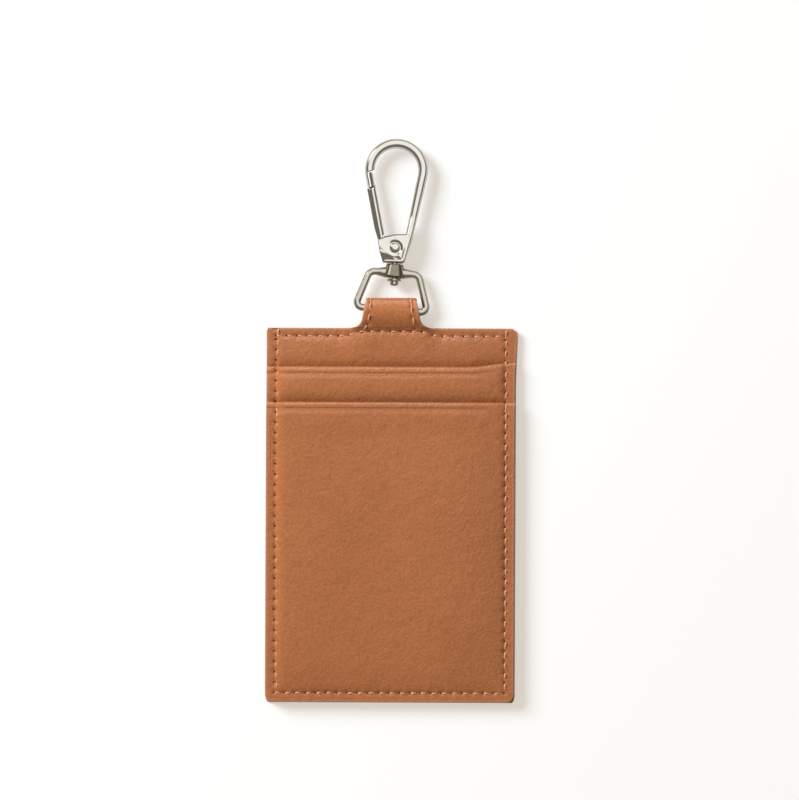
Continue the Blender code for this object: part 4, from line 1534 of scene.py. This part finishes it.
def make_window(pieces):
    """The light overhead towards the top, seen only as gloss on the leather."""
    energy = window_level * math.pi * math.pi * (window_size / 2) ** 2
    direction = Vector(window_direction).normalized()
    window = add_lamp("window", direction, window_distance, window_size, energy)
    window.visible_diffuse = False
    glossed = bpy.data.collections.new("leather_pieces")
    for piece in pieces:
        glossed.objects.link(piece)
    window.light_linking.receiver_collection = glossed


def make_floor():
    """The pale table, which takes the shadow where the camera and the metal see it."""
    mesh = bmesh.new()
    bmesh.ops.create_grid(mesh, x_segments=1, y_segments=1, size=table_size)
    floor = put_in_scene("table", finished(mesh, "table", Matrix(), doubles=0.0))
    material, tree, shader = node_material("white_table")[:3]
    set_inputs(tree, shader, {"Base Color": (0.88, 0.87, 0.85, 1.0), "Roughness": 0.9,
                              "Specular IOR Level": 0.0})
    paper = add_node(tree, "ShaderNodeBsdfDiffuse", {"Color": table_tone})
    glow = add_node(tree, "ShaderNodeEmission", {"Color": table_glow})
    both = add_node(tree, "ShaderNodeAddShader", {0: paper.outputs[0], 1: glow.outputs[0]})
    ray = add_node(tree, "ShaderNodeLightPath", {}).outputs
    seen = add_node(tree, "ShaderNodeMath", {0: ray["Is Camera Ray"], 1: ray["Is Glossy Ray"]},
                    operation="MAXIMUM")
    switch = add_node(tree, "ShaderNodeMixShader",
                      {0: seen.outputs[0], 1: shader.outputs[0], 2: both.outputs[0]})
    set_inputs(tree, tree.nodes["Material Output"], {"Surface": switch.outputs[0]})
    floor.data.materials.append(material)


def make_world():
    """A dim studio under bright panels, white where the camera sees it."""
    world = bpy.data.worlds.new("studio")
    bpy.context.scene.world = world
    world.use_nodes = True
    tree = world.node_tree
    place = add_node(tree, "ShaderNodeTexCoord", {}).outputs["Generated"]
    room = add_node(tree, "ShaderNodeRGB", {}).outputs[0]
    room.default_value = room_colour
    for direction, inner, outer, colour in overhead_lights:
        toward = add_node(tree, "ShaderNodeVectorMath", {0: place, 1: Vector(direction).normalized()},
                          operation="DOT_PRODUCT").outputs["Value"]
        edge = add_node(tree, "ShaderNodeMapRange", {
            "Value": toward, "From Min": math.cos(math.radians(outer)),
            "From Max": math.cos(math.radians(inner))}, interpolation_type="SMOOTHSTEP")
        room = blend(tree, edge.outputs["Result"], room, colour, "ADD")
    mirrored = tree.nodes["Background"]
    set_inputs(tree, mirrored, {"Color": room})
    white = add_node(tree, "ShaderNodeBackground", {})
    fill = add_node(tree, "ShaderNodeBackground", {"Color": fill_colour})
    ray = add_node(tree, "ShaderNodeLightPath", {}).outputs
    lit = add_node(tree, "ShaderNodeMixShader",
                   {0: ray["Is Glossy Ray"], 1: fill.outputs[0], 2: mirrored.outputs[0]})
    switch = add_node(tree, "ShaderNodeMixShader",
                      {0: ray["Is Camera Ray"], 1: lit.outputs[0], 2: white.outputs[0]})
    set_inputs(tree, tree.nodes["World Output"], {"Surface": switch.outputs[0]})


def make_camera():
    """The camera straight above, far enough to hold frame_height in its square picture."""
    data = bpy.data.cameras.new("camera")
    data.lens = lens
    data.sensor_width = sensor
    data.clip_start = 0.01
    camera = put_in_scene("camera", data)
    distance = frame_height * lens / sensor
    camera.location = (view_centre_x, view_centre_along + body_bottom, view_level + distance)
    camera.rotation_euler = (0.0, 0.0, view_roll)
    bpy.context.scene.camera = camera


bpy.context.scene.view_settings.view_transform = "Standard"
tan = leather_material("tan_leather", (0.527, 0.181, 0.0625), (0.484, 0.161, 0.054))
tan_back = leather_material("tan_back_leather", (0.40, 0.145, 0.062), (0.35, 0.122, 0.050), 0.6, 0.6)
thread = thread_material()
nickel = nickel_material("bright_nickel", (0.76, 0.735, 0.69), 0.10)
# Painted shade: a darker copy of the bright nickel for the ring, and for the pin beside the boss
ring_shaded_nickel = nickel_material("ring_painted_shade_nickel", (0.60, 0.57, 0.51), 0.15)
# Painted shade: a much darker copy of the nickel for the boss under the block
boss_shaded_nickel = nickel_material("boss_painted_shade_nickel", (0.27, 0.245, 0.195), 0.13)
steel = nickel_material("dull_steel", (0.50, 0.48, 0.45), 0.25)
board = board_material()

make_back(tan_back)
sheets = [
    make_base(tan),
    make_pocket("upper_pocket_sheet", "upper", upper_top, upper_edge, "upper_pocket",
                tan),
    make_pocket("front_pocket_sheet", "front", front_top, front_edge, "front_pocket",
                tan)]
make_stitches(thread)
make_ring(ring_shaded_nickel, boss_shaded_nickel)
make_swivel(steel, ring_shaded_nickel)
make_hook(nickel)
make_gate(nickel)
make_rivet(nickel)
make_spring(steel)
stiffener = frame["nodes"]["back_stiffener"].data
stiffener.materials.clear()
stiffener.materials.append(board)

make_floor()
make_world()
make_key()
make_window(sheets)
make_camera()
